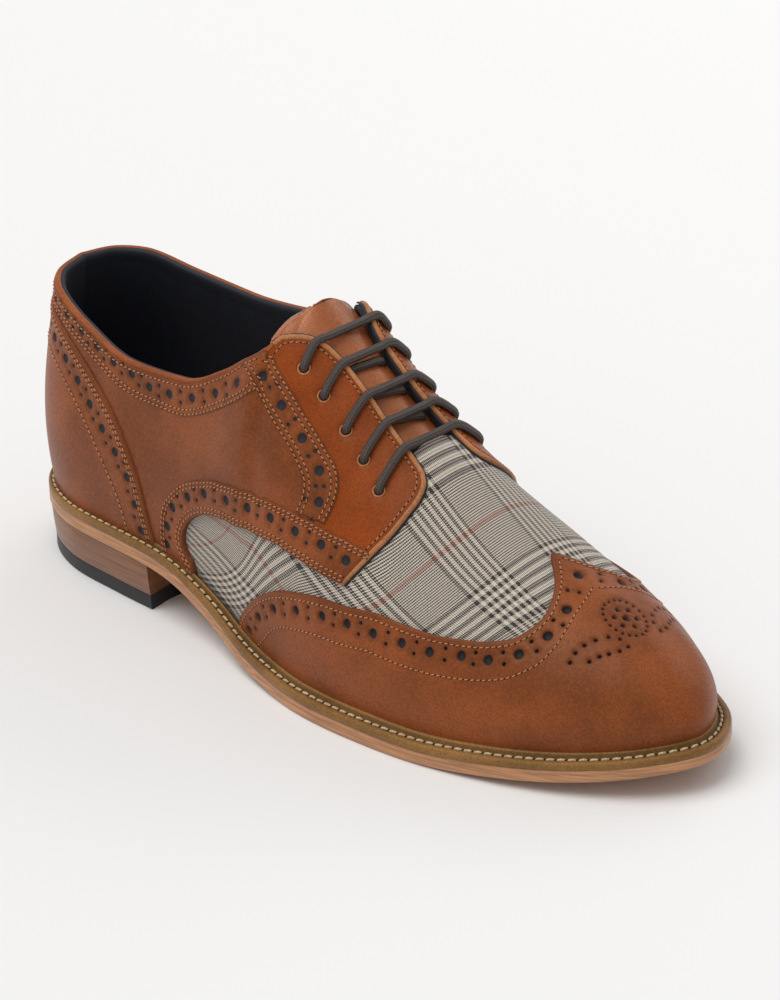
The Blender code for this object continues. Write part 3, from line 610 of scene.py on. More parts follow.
def panel(name, chart, outline, holes, top, bottom, floor, step, materials, node=None,
          edge=((0.0, 0.00035), (0.0004, 0.00006)), swell=None):
    """Sheet of leather cut to an outline, with rounded edges and punched holes that end on a near-black floor of
    painted shade.
    """
    area = np.sum(outline[:, 0] * np.roll(outline[:, 1], -1) - outline[:, 1] * np.roll(outline[:, 0], -1))
    if area < 0:
        outline = outline[::-1]
    outline = pace(chart, outline, OUTLINE_PITCH, True)
    spots = []
    lifts = []
    rims = []
    fixed = []

    def add(loop, level, ring=False):
        start = len(spots)
        spots.extend(loop)
        lifts.extend([level] * len(loop))
        if ring:
            ids = list(range(start, start + len(loop)))
            fixed.extend(zip(ids, ids[1:] + ids[:1]))
            rims.append(ids)

    add(outline, top - edge[0][1], True)
    for inset, drop in edge[1:]:
        add(beside(chart, outline, inset, True), top - drop)
    punched = {}
    for count in (LARGE_SIDES, PIN_SIDES):
        some = [(spot, radius) for spot, radius in holes if (radius > LARGE_RADIUS) == (count == LARGE_SIDES)]
        if not some:
            continue
        centres = np.array([spot for spot, _ in some])
        radii = np.array([radius for _, radius in some])
        rim = rings_round(chart, centres, radii, count)
        lip = rings_round(chart, centres, radii + LIP_WIDTH, count)
        for k in range(len(some)):
            for i in range(len(spots), len(spots) + count):
                punched[i] = len(rims)
            add(rim[k], top - LIP_DROP, True)
            add(lip[k], top - 0.00004)
    near = kdtree.KDTree(len(spots))
    ring_points = skin(*chart[1](np.array(spots)))
    for i, point in enumerate(ring_points):
        near.insert(point, i)
    near.balance()
    low = outline.min(0)
    high = outline.max(0)
    columns = int((high[0] - low[0]) / step) + 2
    rows = int((high[1] - low[1]) / (step * 0.87)) + 2
    gx, gy = np.meshgrid(np.arange(columns), np.arange(rows))
    field = np.stack([low[0] + (gx + 0.5 * (gy % 2)) * step, low[1] + gy * step * 0.87], -1).reshape(-1, 2)
    field = field[within(field, outline)]
    field_points = skin(*chart[1](field))
    clear = np.array([near.find(point)[2] > step * 0.45 for point in field_points], bool)
    if len(holes):
        bores = kdtree.KDTree(len(holes))
        for i, point in enumerate(skin(*chart[1](np.array([spot for spot, _ in holes])))):
            bores.insert(point, i)
        bores.balance()
        found = [bores.find(point) for point in field_points]
        clear &= np.array([far > holes[i][1] + 0.0005 for _, i, far in found], bool)
    field = field[clear]
    add(field, top)
    spots = np.array(spots)
    lifts = np.array(lifts)
    flat = [Vector((x, y)) for x, y in spots * 1000.0]
    found = delaunay_2d_cdt(flat, [tuple(map(int, e)) for e in fixed], [], 0, 1e-5)
    made = np.array([tuple(v) for v in found[0]]) / 1000.0
    origin = [ids[0] if ids else -1 for ids in found[3]]
    triangles = np.array(found[2])
    middle = made[triangles].mean(1)
    owner = np.array([punched.get(i, -1) for i in origin])[triangles]
    bore = (owner[:, 0] >= 0) & (owner[:, 0] == owner[:, 1]) & (owner[:, 0] == owner[:, 2])
    triangles = triangles[within(middle, outline) & ~bore]
    level = np.array([lifts[i] if i >= 0 else top for i in origin])
    if swell is not None:
        level = level + swell(*chart[1](made))
    points = on_chart(chart, made, level)
    back = {i: k for k, i in enumerate(origin) if i >= 0}
    wear = np.array([near.find(point)[2] for point in skin(*chart[1](made))]) * 1000.0
    faces = triangles.tolist()
    marks = [0] * len(faces)
    points = points.tolist()
    uv = made.tolist()
    wear = wear.tolist()
    for n, ids in enumerate(rims):
        ids = [back[i] for i in ids if i in back]
        loop = made[ids]
        foot = on_chart(chart, loop, floor if n else bottom)
        start = len(points)
        points.extend(foot.tolist())
        uv.extend(loop.tolist())
        wear.extend([0.0] * len(ids))
        for k in range(len(ids)):
            m = (k + 1) % len(ids)
            if n == 0:
                faces.append([ids[m], ids[k], start + k, start + m])
            else:
                faces.append([ids[k], ids[m], start + m, start + k])
            marks.append(1)
        # each hole's floor takes the third finish: near-black painted shade
        if n > 0:
            centre = loop.mean(0)
            points.append(on_chart(chart, centre[None], floor)[0].tolist())
            uv.append(centre.tolist())
            wear.append(0.0)
            for k in range(len(ids)):
                m = (k + 1) % len(ids)
                faces.append([start + k, start + m, len(points) - 1])
                marks.append(2)
    return mesh_piece(name, points, faces, materials, node, marks, uv, wear)


def brogue(chart, side, rows, big, small, spread):
    """Large holes at a table's points with a pair of pinholes across the line between each two."""
    steps = 14
    line = lay(chart, side, rows, steps)
    run = length_along(skin(*chart[1](line)))

    def read(at):
        return np.stack([np.interp(at, run, line[:, 0]), np.interp(at, run, line[:, 1])], -1)

    between = (run[:-steps:steps] + run[steps::steps]) / 2
    centres = read(between)
    along = skin(*chart[1](read(between + 0.0008))) - skin(*chart[1](read(between - 0.0008)))
    sideways = unit(np.cross(outward(*chart[1](centres)), along))
    holes = [(spot, big / 2) for spot in line[::steps]]
    for sign in (-1, 1):
        for spot in shift(chart, centres, sideways * spread * sign):
            holes.append((spot, small / 2))
    return holes


# one stitch from end to end: share of its half length, width and rise as shares of the thread's radius
STITCH_SHAPE = ((-1.0, 0.55, -0.9), (-0.72, 0.9, -0.15), (0.0, 1.0, 0.12), (0.72, 0.9, -0.15), (1.0, 0.55, -0.9))
# a needle hole's dark disc of painted shade: its half width along and across the row, as shares of the thread's radius,
# and its lift
NEEDLE_LONG = 1.7
NEEDLE_WIDE = 1.25
NEEDLE_LIFT = 0.00003


def sew(name, runs, length, gap, radius, materials, slant=0.16):
    """Rows of stitches, each a short thread sunk at both ends, with a dark disc of painted shade at each needle hole.
    """
    sides = 6
    turns = [2 * math.pi * k / sides for k in range(sides)]
    points = []
    faces = []
    marks = []
    for path, out in runs:
        run = length_along(path)
        count = max(1, int(round(run[-1] / (length + gap))))
        pitch = run[-1] / count
        middles = (np.arange(count) + 0.5) * pitch
        half = pitch * length / (length + gap) / 2

        def read(at, values):
            return np.stack([np.interp(at, run, values[:, k]) for k in range(3)], -1)

        centre = read(middles, path)
        along = unit(read(middles + half * 0.5, path) - read(middles - half * 0.5, path))
        up = unit(read(middles, out))
        across = unit(np.cross(up, along))
        along = unit(along + across * slant)
        across = unit(np.cross(up, along))
        for i in range(count):
            start = len(points)
            for t, wide, rise in STITCH_SHAPE:
                spine = centre[i] + along[i] * half * t + up[i] * radius * rise
                for turn in turns:
                    points.append(spine + radius * wide * (math.cos(turn) * across[i] + math.sin(turn) * up[i]))
            for j in range(len(STITCH_SHAPE) - 1):
                for k in range(sides):
                    m = (k + 1) % sides
                    a = start + j * sides
                    faces.append([a + k, a + m, a + sides + m, a + sides + k])
                    marks.append(0)
        # dark discs at the needle holes between stitches: painted shade of the holes
        joints = np.arange(count + 1) * pitch
        centre = read(joints, path)
        up = unit(read(joints, out))
        along = unit(read(np.minimum(joints + 1e-4, run[-1]), path) - read(np.maximum(joints - 1e-4, 0), path))
        across = unit(np.cross(up, along))
        for i in range(count + 1):
            start = len(points)
            for turn in turns:
                spread = NEEDLE_LONG * math.cos(turn) * along[i] + NEEDLE_WIDE * math.sin(turn) * across[i]
                points.append(centre[i] + up[i] * NEEDLE_LIFT + radius * spread)
            faces.append([start + k for k in range(sides)])
            marks.append(1)
    return mesh_piece(name, points, faces, materials, None, marks)


def seam(chart, line, lift):
    """Path over a chart line and its outward directions, for a row of stitches."""
    line = pace(chart, line, 0.001)
    s, height = chart[1](line)
    return place(s, height, lift), outward(s, height)


def sweep(name, run, rings, materials, node=None, marks=None, closed=True, uv=None):
    """Grid skin between rings of points; run and uv are its coordinates along and across the rings."""
    count = len(rings[0])
    points = np.vstack(rings)
    faces = []
    kinds = []
    last = count if closed else count - 1
    for j in range(len(rings) - 1):
        for i in range(last):
            m = (i + 1) % count
            faces.append([j * count + i, j * count + m, (j + 1) * count + m, (j + 1) * count + i])
            kinds.append(marks[j] if marks else 0)
    coordinates = None
    if uv is not None:
        coordinates = np.vstack([np.stack([run, np.full(count, v)], -1) for v in uv])
    return mesh_piece(name, points, faces, materials, node, kinds, coordinates)


def cord(path, radius, sides):
    """Points, faces and UV of a round cord along a path, with its turn and run as UV."""
    run = length_along(path)
    tangent = unit(np.gradient(path, axis=0))
    normal = np.array([0.3, 0.2, 1.0])
    points = []
    uv = []
    for i in range(len(path)):
        normal = normal - tangent[i] * np.dot(normal, tangent[i])
        normal = normal / np.linalg.norm(normal)
        across = np.cross(tangent[i], normal)
        for k in range(sides + 1):
            turn = 2 * math.pi * k / sides
            points.append(path[i] + radius * (math.cos(turn) * normal + math.sin(turn) * across))
            uv.append((k / sides, run[i]))
    faces = []
    wide = sides + 1
    for i in range(len(path) - 1):
        for k in range(sides):
            faces.append([i * wide + k, i * wide + k + 1, (i + 1) * wide + k + 1, (i + 1) * wide + k])
    return points, faces, uv


# Finishes
class Wiring:
    """Shorthand for the nodes of one finish."""

    def __init__(self, name):
        self.material = bpy.data.materials.new(name)
        self.material.use_nodes = True
        self.tree = self.material.node_tree
        self.shader = self.tree.nodes["Principled BSDF"]

    def join(self, value, socket):
        if isinstance(value, bpy.types.NodeSocket):
            self.tree.links.new(value, socket)
        elif socket.type == "RGBA" and len(value) == 3:
            socket.default_value = (*value, 1.0)
        else:
            socket.default_value = value

    def add(self, kind, settings=None, **inputs):
        node = self.tree.nodes.new(kind)
        for key, value in (settings or {}).items():
            setattr(node, key, value)
        for key, value in inputs.items():
            self.join(value, node.inputs[key.replace("_", " ")])
        return node

    def maths(self, operation, *values, clamp=False):
        node = self.tree.nodes.new("ShaderNodeMath")
        node.operation = operation
        node.use_clamp = clamp
        for socket, value in zip(node.inputs, values):
            self.join(value, socket)
        return node.outputs[0]

    def blend(self, factor, first, second, kind="MIX"):
        node = self.tree.nodes.new("ShaderNodeMix")
        node.data_type = "RGBA"
        node.blend_type = kind
        self.join(factor, node.inputs[0])
        self.join(first, node.inputs[6])
        self.join(second, node.inputs[7])
        return node.outputs[2]

    def spread(self, value, low, high, start=0.0, end=1.0):
        node = self.add("ShaderNodeMapRange", {"interpolation_type": "SMOOTHSTEP"})
        self.join(value, node.inputs["Value"])
        node.inputs["From Min"].default_value = low
        node.inputs["From Max"].default_value = high
        node.inputs["To Min"].default_value = start
        node.inputs["To Max"].default_value = end
        return node.outputs[0]

    def noise(self, where, scale, detail=2.0, roughness=0.5):
        node = self.add("ShaderNodeTexNoise", Vector=where, Scale=scale, Detail=detail, Roughness=roughness)
        return node.outputs["Fac"]

    def place(self, kind="Object"):
        return self.add("ShaderNodeTexCoord").outputs[kind]

    def wear(self):
        return self.add("ShaderNodeAttribute", {"attribute_name": "wear"}).outputs["Fac"]

    def bump(self, height, strength, distance, base=None):
        node = self.add("ShaderNodeBump", Height=height, Strength=strength, Distance=distance)
        if base is not None:
            self.join(base, node.inputs["Normal"])
        return node.outputs[0]

    def finish(self, colour, roughness, normal=None, **fixed):
        self.join(colour, self.shader.inputs["Base Color"])
        self.join(roughness, self.shader.inputs["Roughness"])
        if normal is not None:
            self.join(normal, self.shader.inputs["Normal"])
        for key, value in fixed.items():
            self.shader.inputs[key.replace("_", " ")].default_value = value
        return self.material


def tone(colour, factor):
    """Colour made lighter or darker."""
    return tuple(min(1.0, c * factor) for c in colour)


WARM_SHINE = (1.0, 0.66, 0.45, 1.0)


def leather(name, colour, roughness=0.40, burnish=0.40, edges=True, gloss=0.30):
    """Burnished calf: cloudy colour, dark flecks, darker edges and a fine satin grain."""
    w = Wiring(name)
    where = w.place()
    cloud = w.noise(where, 34.0, 3.0, 0.55)
    fleck = w.noise(where, 2600.0, 2.0, 0.7)
    mottle = w.noise(where, 900.0, 2.0, 0.6)
    tint = w.blend(w.spread(cloud, 0.34, 0.66), tone(colour, 0.74), tone(colour, 1.22))
    tint = w.blend(w.spread(fleck, 0.44, 0.60, 0.0, 0.62), tint, tone(colour, 0.40))
    tint = w.blend(w.spread(mottle, 0.42, 0.66, 0.0, 0.20), tint, tone(colour, 1.6))
    if edges:
        near = w.spread(w.wear(), 0.1, 1.3, 1.0, 0.0)
        tint = w.blend(w.maths("MULTIPLY", near, burnish), tint, tone(colour, 0.40))
    pebble = w.add("ShaderNodeTexVoronoi", {"feature": "DISTANCE_TO_EDGE"}, Vector=where, Scale=1150.0)
    grain = w.bump(w.spread(pebble.outputs["Distance"], 0.0, 0.25), 0.20, 0.00010)
    grain = w.bump(fleck, 0.25, 0.00012, grain)
    rough = w.spread(fleck, 0.3, 0.7, roughness - 0.05, roughness + 0.10)
    return w.finish(tint, rough, grain, Coat_Weight=0.04, Coat_Roughness=0.25, Specular_IOR_Level=gloss,
                    Specular_Tint=WARM_SHINE)


def plain(name, colour, roughness, spot_scale=300.0, contrast=0.25, bump=0.1, depth=0.0001, **fixed):
    """Flat finish with a little cloud in its colour and a fine tooth."""
    w = Wiring(name)
    where = w.place()
    cloud = w.noise(where, spot_scale, 3.0, 0.6)
    tint = w.blend(w.spread(cloud, 0.3, 0.7), tone(colour, 1.0 - contrast), tone(colour, 1.0 + contrast))
    tooth = w.bump(w.noise(where, spot_scale * 5, 2.0, 0.6), bump, depth)
    return w.finish(tint, roughness, tooth, **fixed)


# threads across and along the shoe, and the cloth's repeat in threads: whole repeat, cycle of a
# striped and a fine zone, width of the striped zone, place of the red line
THREAD_U = 0.00021
THREAD_V = 0.000154
REPEAT_U = (248.0, 248.0, 88.0, 168.0)
REPEAT_V = (832.0, 208.0, 104.0, 364.0)
RED_HALF = 4.1
BRAID_PITCH = 0.0013


def check_cloth(name, colours):
    """Wool check: two-and-two twill of dark and light threads in eights and twos, with a red line."""
    light, dark, red = colours
    w = Wiring(name)
    parts = w.add("ShaderNodeSeparateXYZ", Vector=w.place("UV"))
    where = w.place()
    sway = w.maths("MULTIPLY", w.maths("SUBTRACT", w.noise(where, 900.0, 1.0), 0.5), 0.55)
    u = w.maths("ADD", w.maths("DIVIDE", parts.outputs[0], THREAD_U), sway)
    v = w.maths("ADD", w.maths("DIVIDE", parts.outputs[1], THREAD_V), sway)

    def below(value, cycle, part):
        """1 where a value lies in the first part of its cycle, else 0."""
        return w.maths("LESS_THAN", w.maths("FLOORED_MODULO", value, cycle), part)

    def either(first, second, choice):
        """The first where the choice is 1, and the second where it is 0."""
        other = w.maths("SUBTRACT", 1.0, choice)
        return w.maths("ADD", w.maths("MULTIPLY", first, choice), w.maths("MULTIPLY", second, other))

    def yarn(line, repeat, cycle, stripe, centre):
        """Number of the thread at each spot and its colour."""
        count = w.maths("FLOOR", line)
        inside = w.maths("FLOORED_MODULO", count, repeat)
        darkness = either(below(inside, 16.0, 8.0), below(inside, 4.0, 2.0), below(inside, cycle, stripe))
        line_red = w.maths("LESS_THAN", w.maths("ABSOLUTE", w.maths("SUBTRACT", inside, centre)), RED_HALF)
        colour = w.blend(darkness, light, dark)
        return count, w.blend(line_red, colour, w.blend(0.75, colour, red))

    first, weft = yarn(u, *REPEAT_U)
    second, warp = yarn(v, *REPEAT_V)
    over = below(w.maths("ADD", first, second), 4.0, 2.0)
    tint = w.blend(over, weft, warp)
    fuzz = w.noise(where, 2600.0, 2.0, 0.7)
    tint = w.blend(w.spread(fuzz, 0.35, 0.75, 0.0, 0.30), tint, tone(light, 0.42))
    ridge_v = w.maths("SINE", w.maths("MULTIPLY", w.maths("FRACT", v), math.pi))
    ridge_u = w.maths("SINE", w.maths("MULTIPLY", w.maths("FRACT", u), math.pi))
    high = w.maths("ADD", either(ridge_v, ridge_u, over), w.maths("MULTIPLY", fuzz, 0.5))
    normal = w.bump(high, 0.5, 0.00007)
    return w.finish(tint, 0.85, normal, Sheen_Weight=0.15, Sheen_Roughness=0.5, Specular_IOR_Level=0.2)


def braid(name, colour):
    """Round waxed braid: two sets of strands that cross, with painted shade between the strands, painted highlight on
    their crests and painted glints of light on the wax.
    """
    w = Wiring(name)
    parts = w.add("ShaderNodeSeparateXYZ", Vector=w.place("UV"))
    around = w.maths("MULTIPLY", parts.outputs[0], 8.0 * math.pi)
    along = w.maths("MULTIPLY", parts.outputs[1], 2 * math.pi / BRAID_PITCH)
    one = w.maths("SINE", w.maths("ADD", around, along))
    two = w.maths("SINE", w.maths("SUBTRACT", around, along))
    strands = w.maths("MULTIPLY", one, two)
    fibre_and_glint = w.noise(w.place(), 3000.0, 2.0, 0.7)
    high = w.maths("ADD", strands, w.maths("MULTIPLY", fibre_and_glint, 0.8))
    # strand crests lighter and the hollows between them darker: painted highlight and painted shade
    tint = w.blend(w.spread(strands, -0.7, 0.7), tone(colour, 0.45), tone(colour, 1.35))
    # pale flecks: painted glints of light on the wax
    tint = w.blend(w.spread(fibre_and_glint, 0.5, 0.8, 0.0, 0.4), tint, tone(colour, 2.4))
    return w.finish(tint, 0.5, w.bump(high, 0.8, 0.00022), Coat_Weight=0.1, Coat_Roughness=0.4)


def stacked(name, colour, pitch, streak):
    """Cut leather edge: thin level layers with streaks along them and a waxed gloss."""
    w = Wiring(name)
    where = w.place()
    parts = w.add("ShaderNodeSeparateXYZ", Vector=where)
    stretch = w.add("ShaderNodeMapping", Vector=where)
    stretch.inputs["Scale"].default_value = (60.0, 60.0, 1400.0)
    grain = w.noise(stretch.outputs[0], 1.0, 4.0, 0.65)
    level = w.maths("FRACT", w.maths("DIVIDE", parts.outputs[2], pitch))
    joint = w.spread(w.maths("ABSOLUTE", w.maths("SUBTRACT", level, 0.5)), 0.44, 0.5)
    tint = w.blend(w.spread(grain, 0.30, 0.70), tone(colour, 0.66), tone(colour, 1.22))
    tint = w.blend(w.maths("MULTIPLY", joint, 0.55 * streak), tint, tone(colour, 0.35))
    normal = w.bump(w.maths("SUBTRACT", grain, joint), 0.25, 0.00015)
    return w.finish(tint, 0.42, normal, Coat_Weight=0.15, Coat_Roughness=0.3)


# What a user may change
def width(name, description, value, low, high):
    """Length in metres that a user may change."""
    return FloatProperty(name=name, description=description, default=value, min=low, max=high, subtype="DISTANCE")


class BrogueSizes(bpy.types.PropertyGroup):
    """Sizes of the fine work"""

    big_hole: width("Large hole", "Width of the large brogue holes", 0.0034, 0.001, 0.006)
    pin_hole: width("Pinhole", "Width of the small brogue holes", 0.0014, 0.0005, 0.003)
    eyelet: width("Eyelet", "Width of an eyelet", 0.0034, 0.002, 0.006)
    stitch: width("Stitch", "Length of one stitch of the upper", 0.00150, 0.0008, 0.004)
    stitch_gap: width("Stitch gap", "Gap between two stitches of the upper", 0.00062, 0.0001, 0.002)
    welt_stitch: width("Welt stitch", "Length of one stitch of the welt", 0.0032, 0.001, 0.008)
    lace: width("Lace", "Thickness of the lace", 0.0030, 0.001, 0.005)


def shade(name, description, value):
    """Colour that a user may change."""
    return FloatVectorProperty(name=name, description=description, default=value, size=3, min=0.0, max=1.0,
                               subtype="COLOR")


class BrogueColours(bpy.types.PropertyGroup):
    """Colours of the leather, cloth, thread and sole"""

    calf: shade("Calf", "Quarters and counter", (0.240, 0.062, 0.017))
    facing: shade("Facing", "Eyelet facings", (0.275, 0.050, 0.005))
    # bead colour paler than the facing: a painted highlight on the beads and eyelet rims
    bead: shade("Bead", "Bead at the facings' edges and round the eyelets", (0.50, 0.205, 0.080))
    band: shade("Bands", "Punched bands and wing", (0.258, 0.066, 0.018))
    thread: shade("Thread", "Stitches of the upper", (0.50, 0.20, 0.075))
    light: shade("Light wool", "Light threads of the cloth", (0.70, 0.62, 0.52))
    dark: shade("Dark wool", "Dark threads of the cloth", (0.020, 0.018, 0.020))
    red: shade("Red wool", "Red line of the cloth", (0.30, 0.055, 0.028))
    lining: shade("Lining", "Lining and binding", (0.004, 0.0055, 0.013))
    lace: shade("Lace", "Lace", (0.066, 0.047, 0.039))
    welt: shade("Welt", "Welt", (0.270, 0.135, 0.040))
    welt_thread: shade("Welt thread", "Stitches of the welt", (0.58, 0.43, 0.24))
    sole: shade("Sole edge", "Cut edge of the outsole", (0.50, 0.235, 0.105))
    heel: shade("Heel", "Stacked heel", (0.235, 0.095, 0.040))
    rubber: shade("Top lift", "Rubber under the heel", (0.010, 0.010, 0.012))


def sizes():
    """Sizes as set in this file."""
    return bpy.context.scene.brogue_sizes


def colours():
    """Colours as set in this file."""
    return bpy.context.scene.brogue_colours


def kept(name, make, *values, **words):
    """A finish made once and used again by name."""
    return bpy.data.materials.get(name) or make(name, *values, **words)


def thread_finish():
    """Thread, and the painted shade of the needle holes."""
    return [kept("thread", plain, tuple(colours().thread), 0.6, 1500.0, 0.3, 0.3, 0.0001),
            # near-black discs at the needle holes are painted shade
            kept("needle_hole", plain, (0.020, 0.008, 0.004), 0.9, 800.0)]


def panel_finish(kind):
    """Face, cut edge and near-black hole floor, painted shade inside the holes, of a leather piece."""
    base = tuple(getattr(colours(), kind))
    return [kept(kind + "_leather", leather, base),
            kept("cut_edge", plain, tone(base, 0.55), 0.7, 900.0),
            # near-black floor of the punched holes: painted shade inside the holes
            kept("hole_backing", plain, (0.010, 0.010, 0.013), 0.75, 900.0)]


def lining_finish():
    """Dark lining."""
    return kept("lining", plain, tuple(colours().lining), 0.62, 260.0, 0.3, 0.25, 0.0002, Sheen_Weight=0.08)


def bead_highlight_finish():
    """Leather made paler at the facings' edges and round the eyelets: a painted highlight on the raised beads and rims.
    """
    return kept("edge_bead", leather, tuple(colours().bead), 0.34, 0.0, False)


# Pieces of the upper
def sheet_grid(columns, outer, inner, walls=()):
    """Two skins over a grid of signed shares and heights, closed along the named borders."""
    s = np.array([[p[0] for p in column] for column in columns])
    h = np.array([[p[1] for p in column] for column in columns])
    many, deep = s.shape
    points = np.vstack([place(s, h, outer).reshape(-1, 3), place(s, h, inner).reshape(-1, 3)])
    faces = []
    marks = []
    half = many * deep
    for i in range(many - 1):
        for j in range(deep - 1):
            a, b, c, d = i * deep + j, (i + 1) * deep + j, (i + 1) * deep + j + 1, i * deep + j + 1
            faces += [[a, b, c, d], [d + half, c + half, b + half, a + half]]
            marks += [0, 1]
    if "top" in walls:
        for i in range(many - 1):
            a, b = i * deep + deep - 1, (i + 1) * deep + deep - 1
            faces.append([a, b, b + half, a + half])
            marks.append(1)
    for wall, i in (("start", 0), ("end", many - 1)):
        if wall in walls:
            for j in range(deep - 1):
                a, b = i * deep + j, i * deep + j + 1
                faces.append([a, b, b + half, a + half])
                marks.append(1)
    uv = np.stack([cloth_u(s, h), cloth_v(s, h)], -1).reshape(-1, 2)
    return points, faces, marks, np.vstack([uv, uv])


def cloth_u(s, height):
    """Run of the cloth along the shoe: its cross lines lean back down the sides."""
    share = np.abs(s)
    base, angle = fan(share)
    fall = 1 - height
    lean = 0.057 + 0.020 * np.clip((0.635 - share) / 0.11, 0, 1)
    return base + lean * fall * fall * np.cos(angle) + PALM * fall * np.sin(angle) - 0.1690


def cloth_v(s, height):
    """Run of the cloth round the shoe, from its first striped zone on the outside."""
    base, angle = fan(np.abs(s))
    round_crest = np.where(s < 0, -1.0, 1.0) * (1 - height) * PALM * np.cos(angle)
    return -0.0115 - round_crest - 0.048 * (base / LAST_LENGTH - 0.65)


def stack(parts):
    """Join the arrays of several grids into one mesh."""
    points = []
    faces = []
    marks = []
    uv = []
    start = 0
    for some, cells, kinds, chart in parts:
        points.append(some)
        uv.append(chart)
        faces += [[v + start for v in face] for face in cells]
        marks += kinds
        start += len(some)
    return np.vstack(points), faces, marks, np.vstack(uv)


def turned(faces, side):
    """Faces of a grid as they are on the outside, and turned over on the inside."""
    return [face[::-1] for face in faces] if side == INSIDE else faces


# how far the shell starts below the feather line, and where the throat's end wall starts, as shares of the height
SHELL_BELOW = 0.02
THROAT_WALL = 0.86


def make_upper():
    """Cloth outside and dark lining inside, open at the collar, the throat and underneath."""
    shares = np.unique(np.concatenate([np.linspace(0, THROAT_FRONT, 90), np.linspace(THROAT_FRONT, 1, 70)]))
    heights = np.linspace(0, 1, 44)
    parts = []
    for side in (OUTSIDE, INSIDE):
        low = [x for x in shares if x <= THROAT_FRONT + 1e-9]
        high = [x for x in shares if x >= THROAT_FRONT - 1e-9]
        for some, walls in ((low, ("top",)), (high, ())):
            columns = []
            for share in some:
                edge = float(curve(TOP_LINE, 1, share)) if some is low else 1.0
                columns.append([(share * side, -SHELL_BELOW + (edge + SHELL_BELOW) * h) for h in heights])
            points, faces, marks, uv = sheet_grid(columns, 0.0, -UPPER_WALL, walls)
            parts.append((points, turned(faces, side), marks, uv))
        levels = np.linspace(THROAT_WALL, 1.0, 11)
        wall = np.vstack([place(THROAT_FRONT * side, levels, lift) for lift in (0.0, -UPPER_WALL)])
        cells = [[j, j + 1, j + 12, j + 11] for j in range(10)]
        parts.append((wall, turned(cells, side), [1] * 10, np.zeros((22, 2))))
    points, faces, marks, uv = stack(parts)
    cloth = kept("check_cloth", check_cloth, (tuple(colours().light), tuple(colours().dark), tuple(colours().red)))
    mesh_piece("upper_cloth", points, faces, [cloth, lining_finish()], "upper", marks, uv)


# sections of the edges, as lift over the skin and reach past the edge
ROLL = (
    (0.00115, -0.0016), (0.00142, -0.0008), (0.00132, 0.0000), (0.0008, 0.00055), (0.0001, 0.00070), (-0.0006, 0.00050),
)
BINDING = (
    (-0.0006, 0.00050), (-0.0012, 0.00058), (-0.0018, 0.00030), (-0.00225, -0.0004), (-0.00225, -0.0020),
    (-0.00205, -0.0040),
)
BEAD = (
    (0.00140, -0.0012), (0.00172, -0.0009), (0.00185, -0.0004), (0.00176, 0.0001), (0.00140, 0.00045),
    (0.00090, 0.00055), (0.00060, 0.00045),
)
# SKIRT: dark strip beside the facing's bead, in the lining's finish; it is lining at the throat and painted shadow of
# the raised edge on the cloth along the front
SKIRT = ((0.00062, 0.00045), (0.00060, 0.00085), (0.00030, 0.00105), (-0.00030, 0.00100))

# where the collar's rim ends and where the facing's edge begins, as shares of the outline
RIM_END = 0.436
FACING_START = 0.434


def edge_strip(name, line, section, material, centre):
    """Strip that follows an edge of the upper; its section reaches away from a point."""
    line = pace(SIDE, line, 0.0010)
    s, height = SIDE[1](line)
    base = skin(s, height)
    out = outward(s, height)
    beyond = unit(np.cross(unit(np.gradient(base, axis=0)), out))
    if np.sum(beyond * (base - centre)) < 0:
        beyond = -beyond
    rings = [base + out * lift + beyond * over for lift, over in section]
    sweep(name, length_along(base), rings, [material], closed=False, uv=[i * 0.0005 for i in range(len(section))])


def make_rims():
    """Rolled rim round the collar, lightened as a painted highlight, and dark binding; beads down the facings, paled as
    a painted highlight, with a dark strip beside them that is lining at the throat and painted shadow along the front.
    """
    # rolled rim lighter than the bands: a painted highlight along the collar's top
    roll = kept("edge_roll", leather, tone(tuple(colours().band), 1.25), 0.38, 0.0, False)
    bead = bead_highlight_finish()
    collar = {side: cut(lay(SIDE, side, TOP_LINE), stop=RIM_END) for side in (OUTSIDE, INSIDE)}
    line = np.vstack([collar[INSIDE][::-1], collar[OUTSIDE][1:]])
    foot = skin(0.0, 0.2)
    edge_strip("rim_roll", line, ROLL, roll, foot)
    edge_strip("rim_binding", line, BINDING, lining_finish(), foot)
    for side, word in ((OUTSIDE, "lateral"), (INSIDE, "medial")):
        top = cut(lay(SIDE, side, TOP_LINE), start=FACING_START)
        line = np.vstack([top, lay(SIDE, side, FRONT_LINE)[1:]])
        centre = skin(0.50 * side, 0.60)
        edge_strip("facing_bead_" + word, line, BEAD, bead, centre)
        # dark strip beside the bead: lining at the throat, painted shadow of the raised edge along the front
        edge_strip("facing_lining_" + word, line, SKIRT, lining_finish(), centre)
        edge_strip("facing_binding_" + word, top, BINDING, lining_finish(), centre)


def quarter_lines(side):
    """Chart lines of one side's leather pieces."""
    return {
        "top": lay(SIDE, side, TOP_LINE),
        "front": lay(SIDE, side, FRONT_LINE),
        "low": lay(SIDE, side, LOW_LINE),
        "counter": lay(SIDE, side, UNDER_COUNTER),
        "stay": lay(SIDE, side, STAY_MIDDLE),
        "band": lay(SIDE, side, BAND_LINE),
        "collar": lay(SIDE, side, COLLAR_LINE),
        "stay_back": lay(SIDE, side, STAY_BACK),
        "stay_front": lay(SIDE, side, STAY_FRONT),
    }


def cut(line, start=None, stop=None):
    """Part of a chart line between two shares of the outline."""
    share = np.abs(line[:, 0]) / CHART_LONG
    keep = np.ones(len(line), bool)
    if start is not None:
        keep &= share >= start
    if stop is not None:
        keep &= share <= stop
    return line[keep]


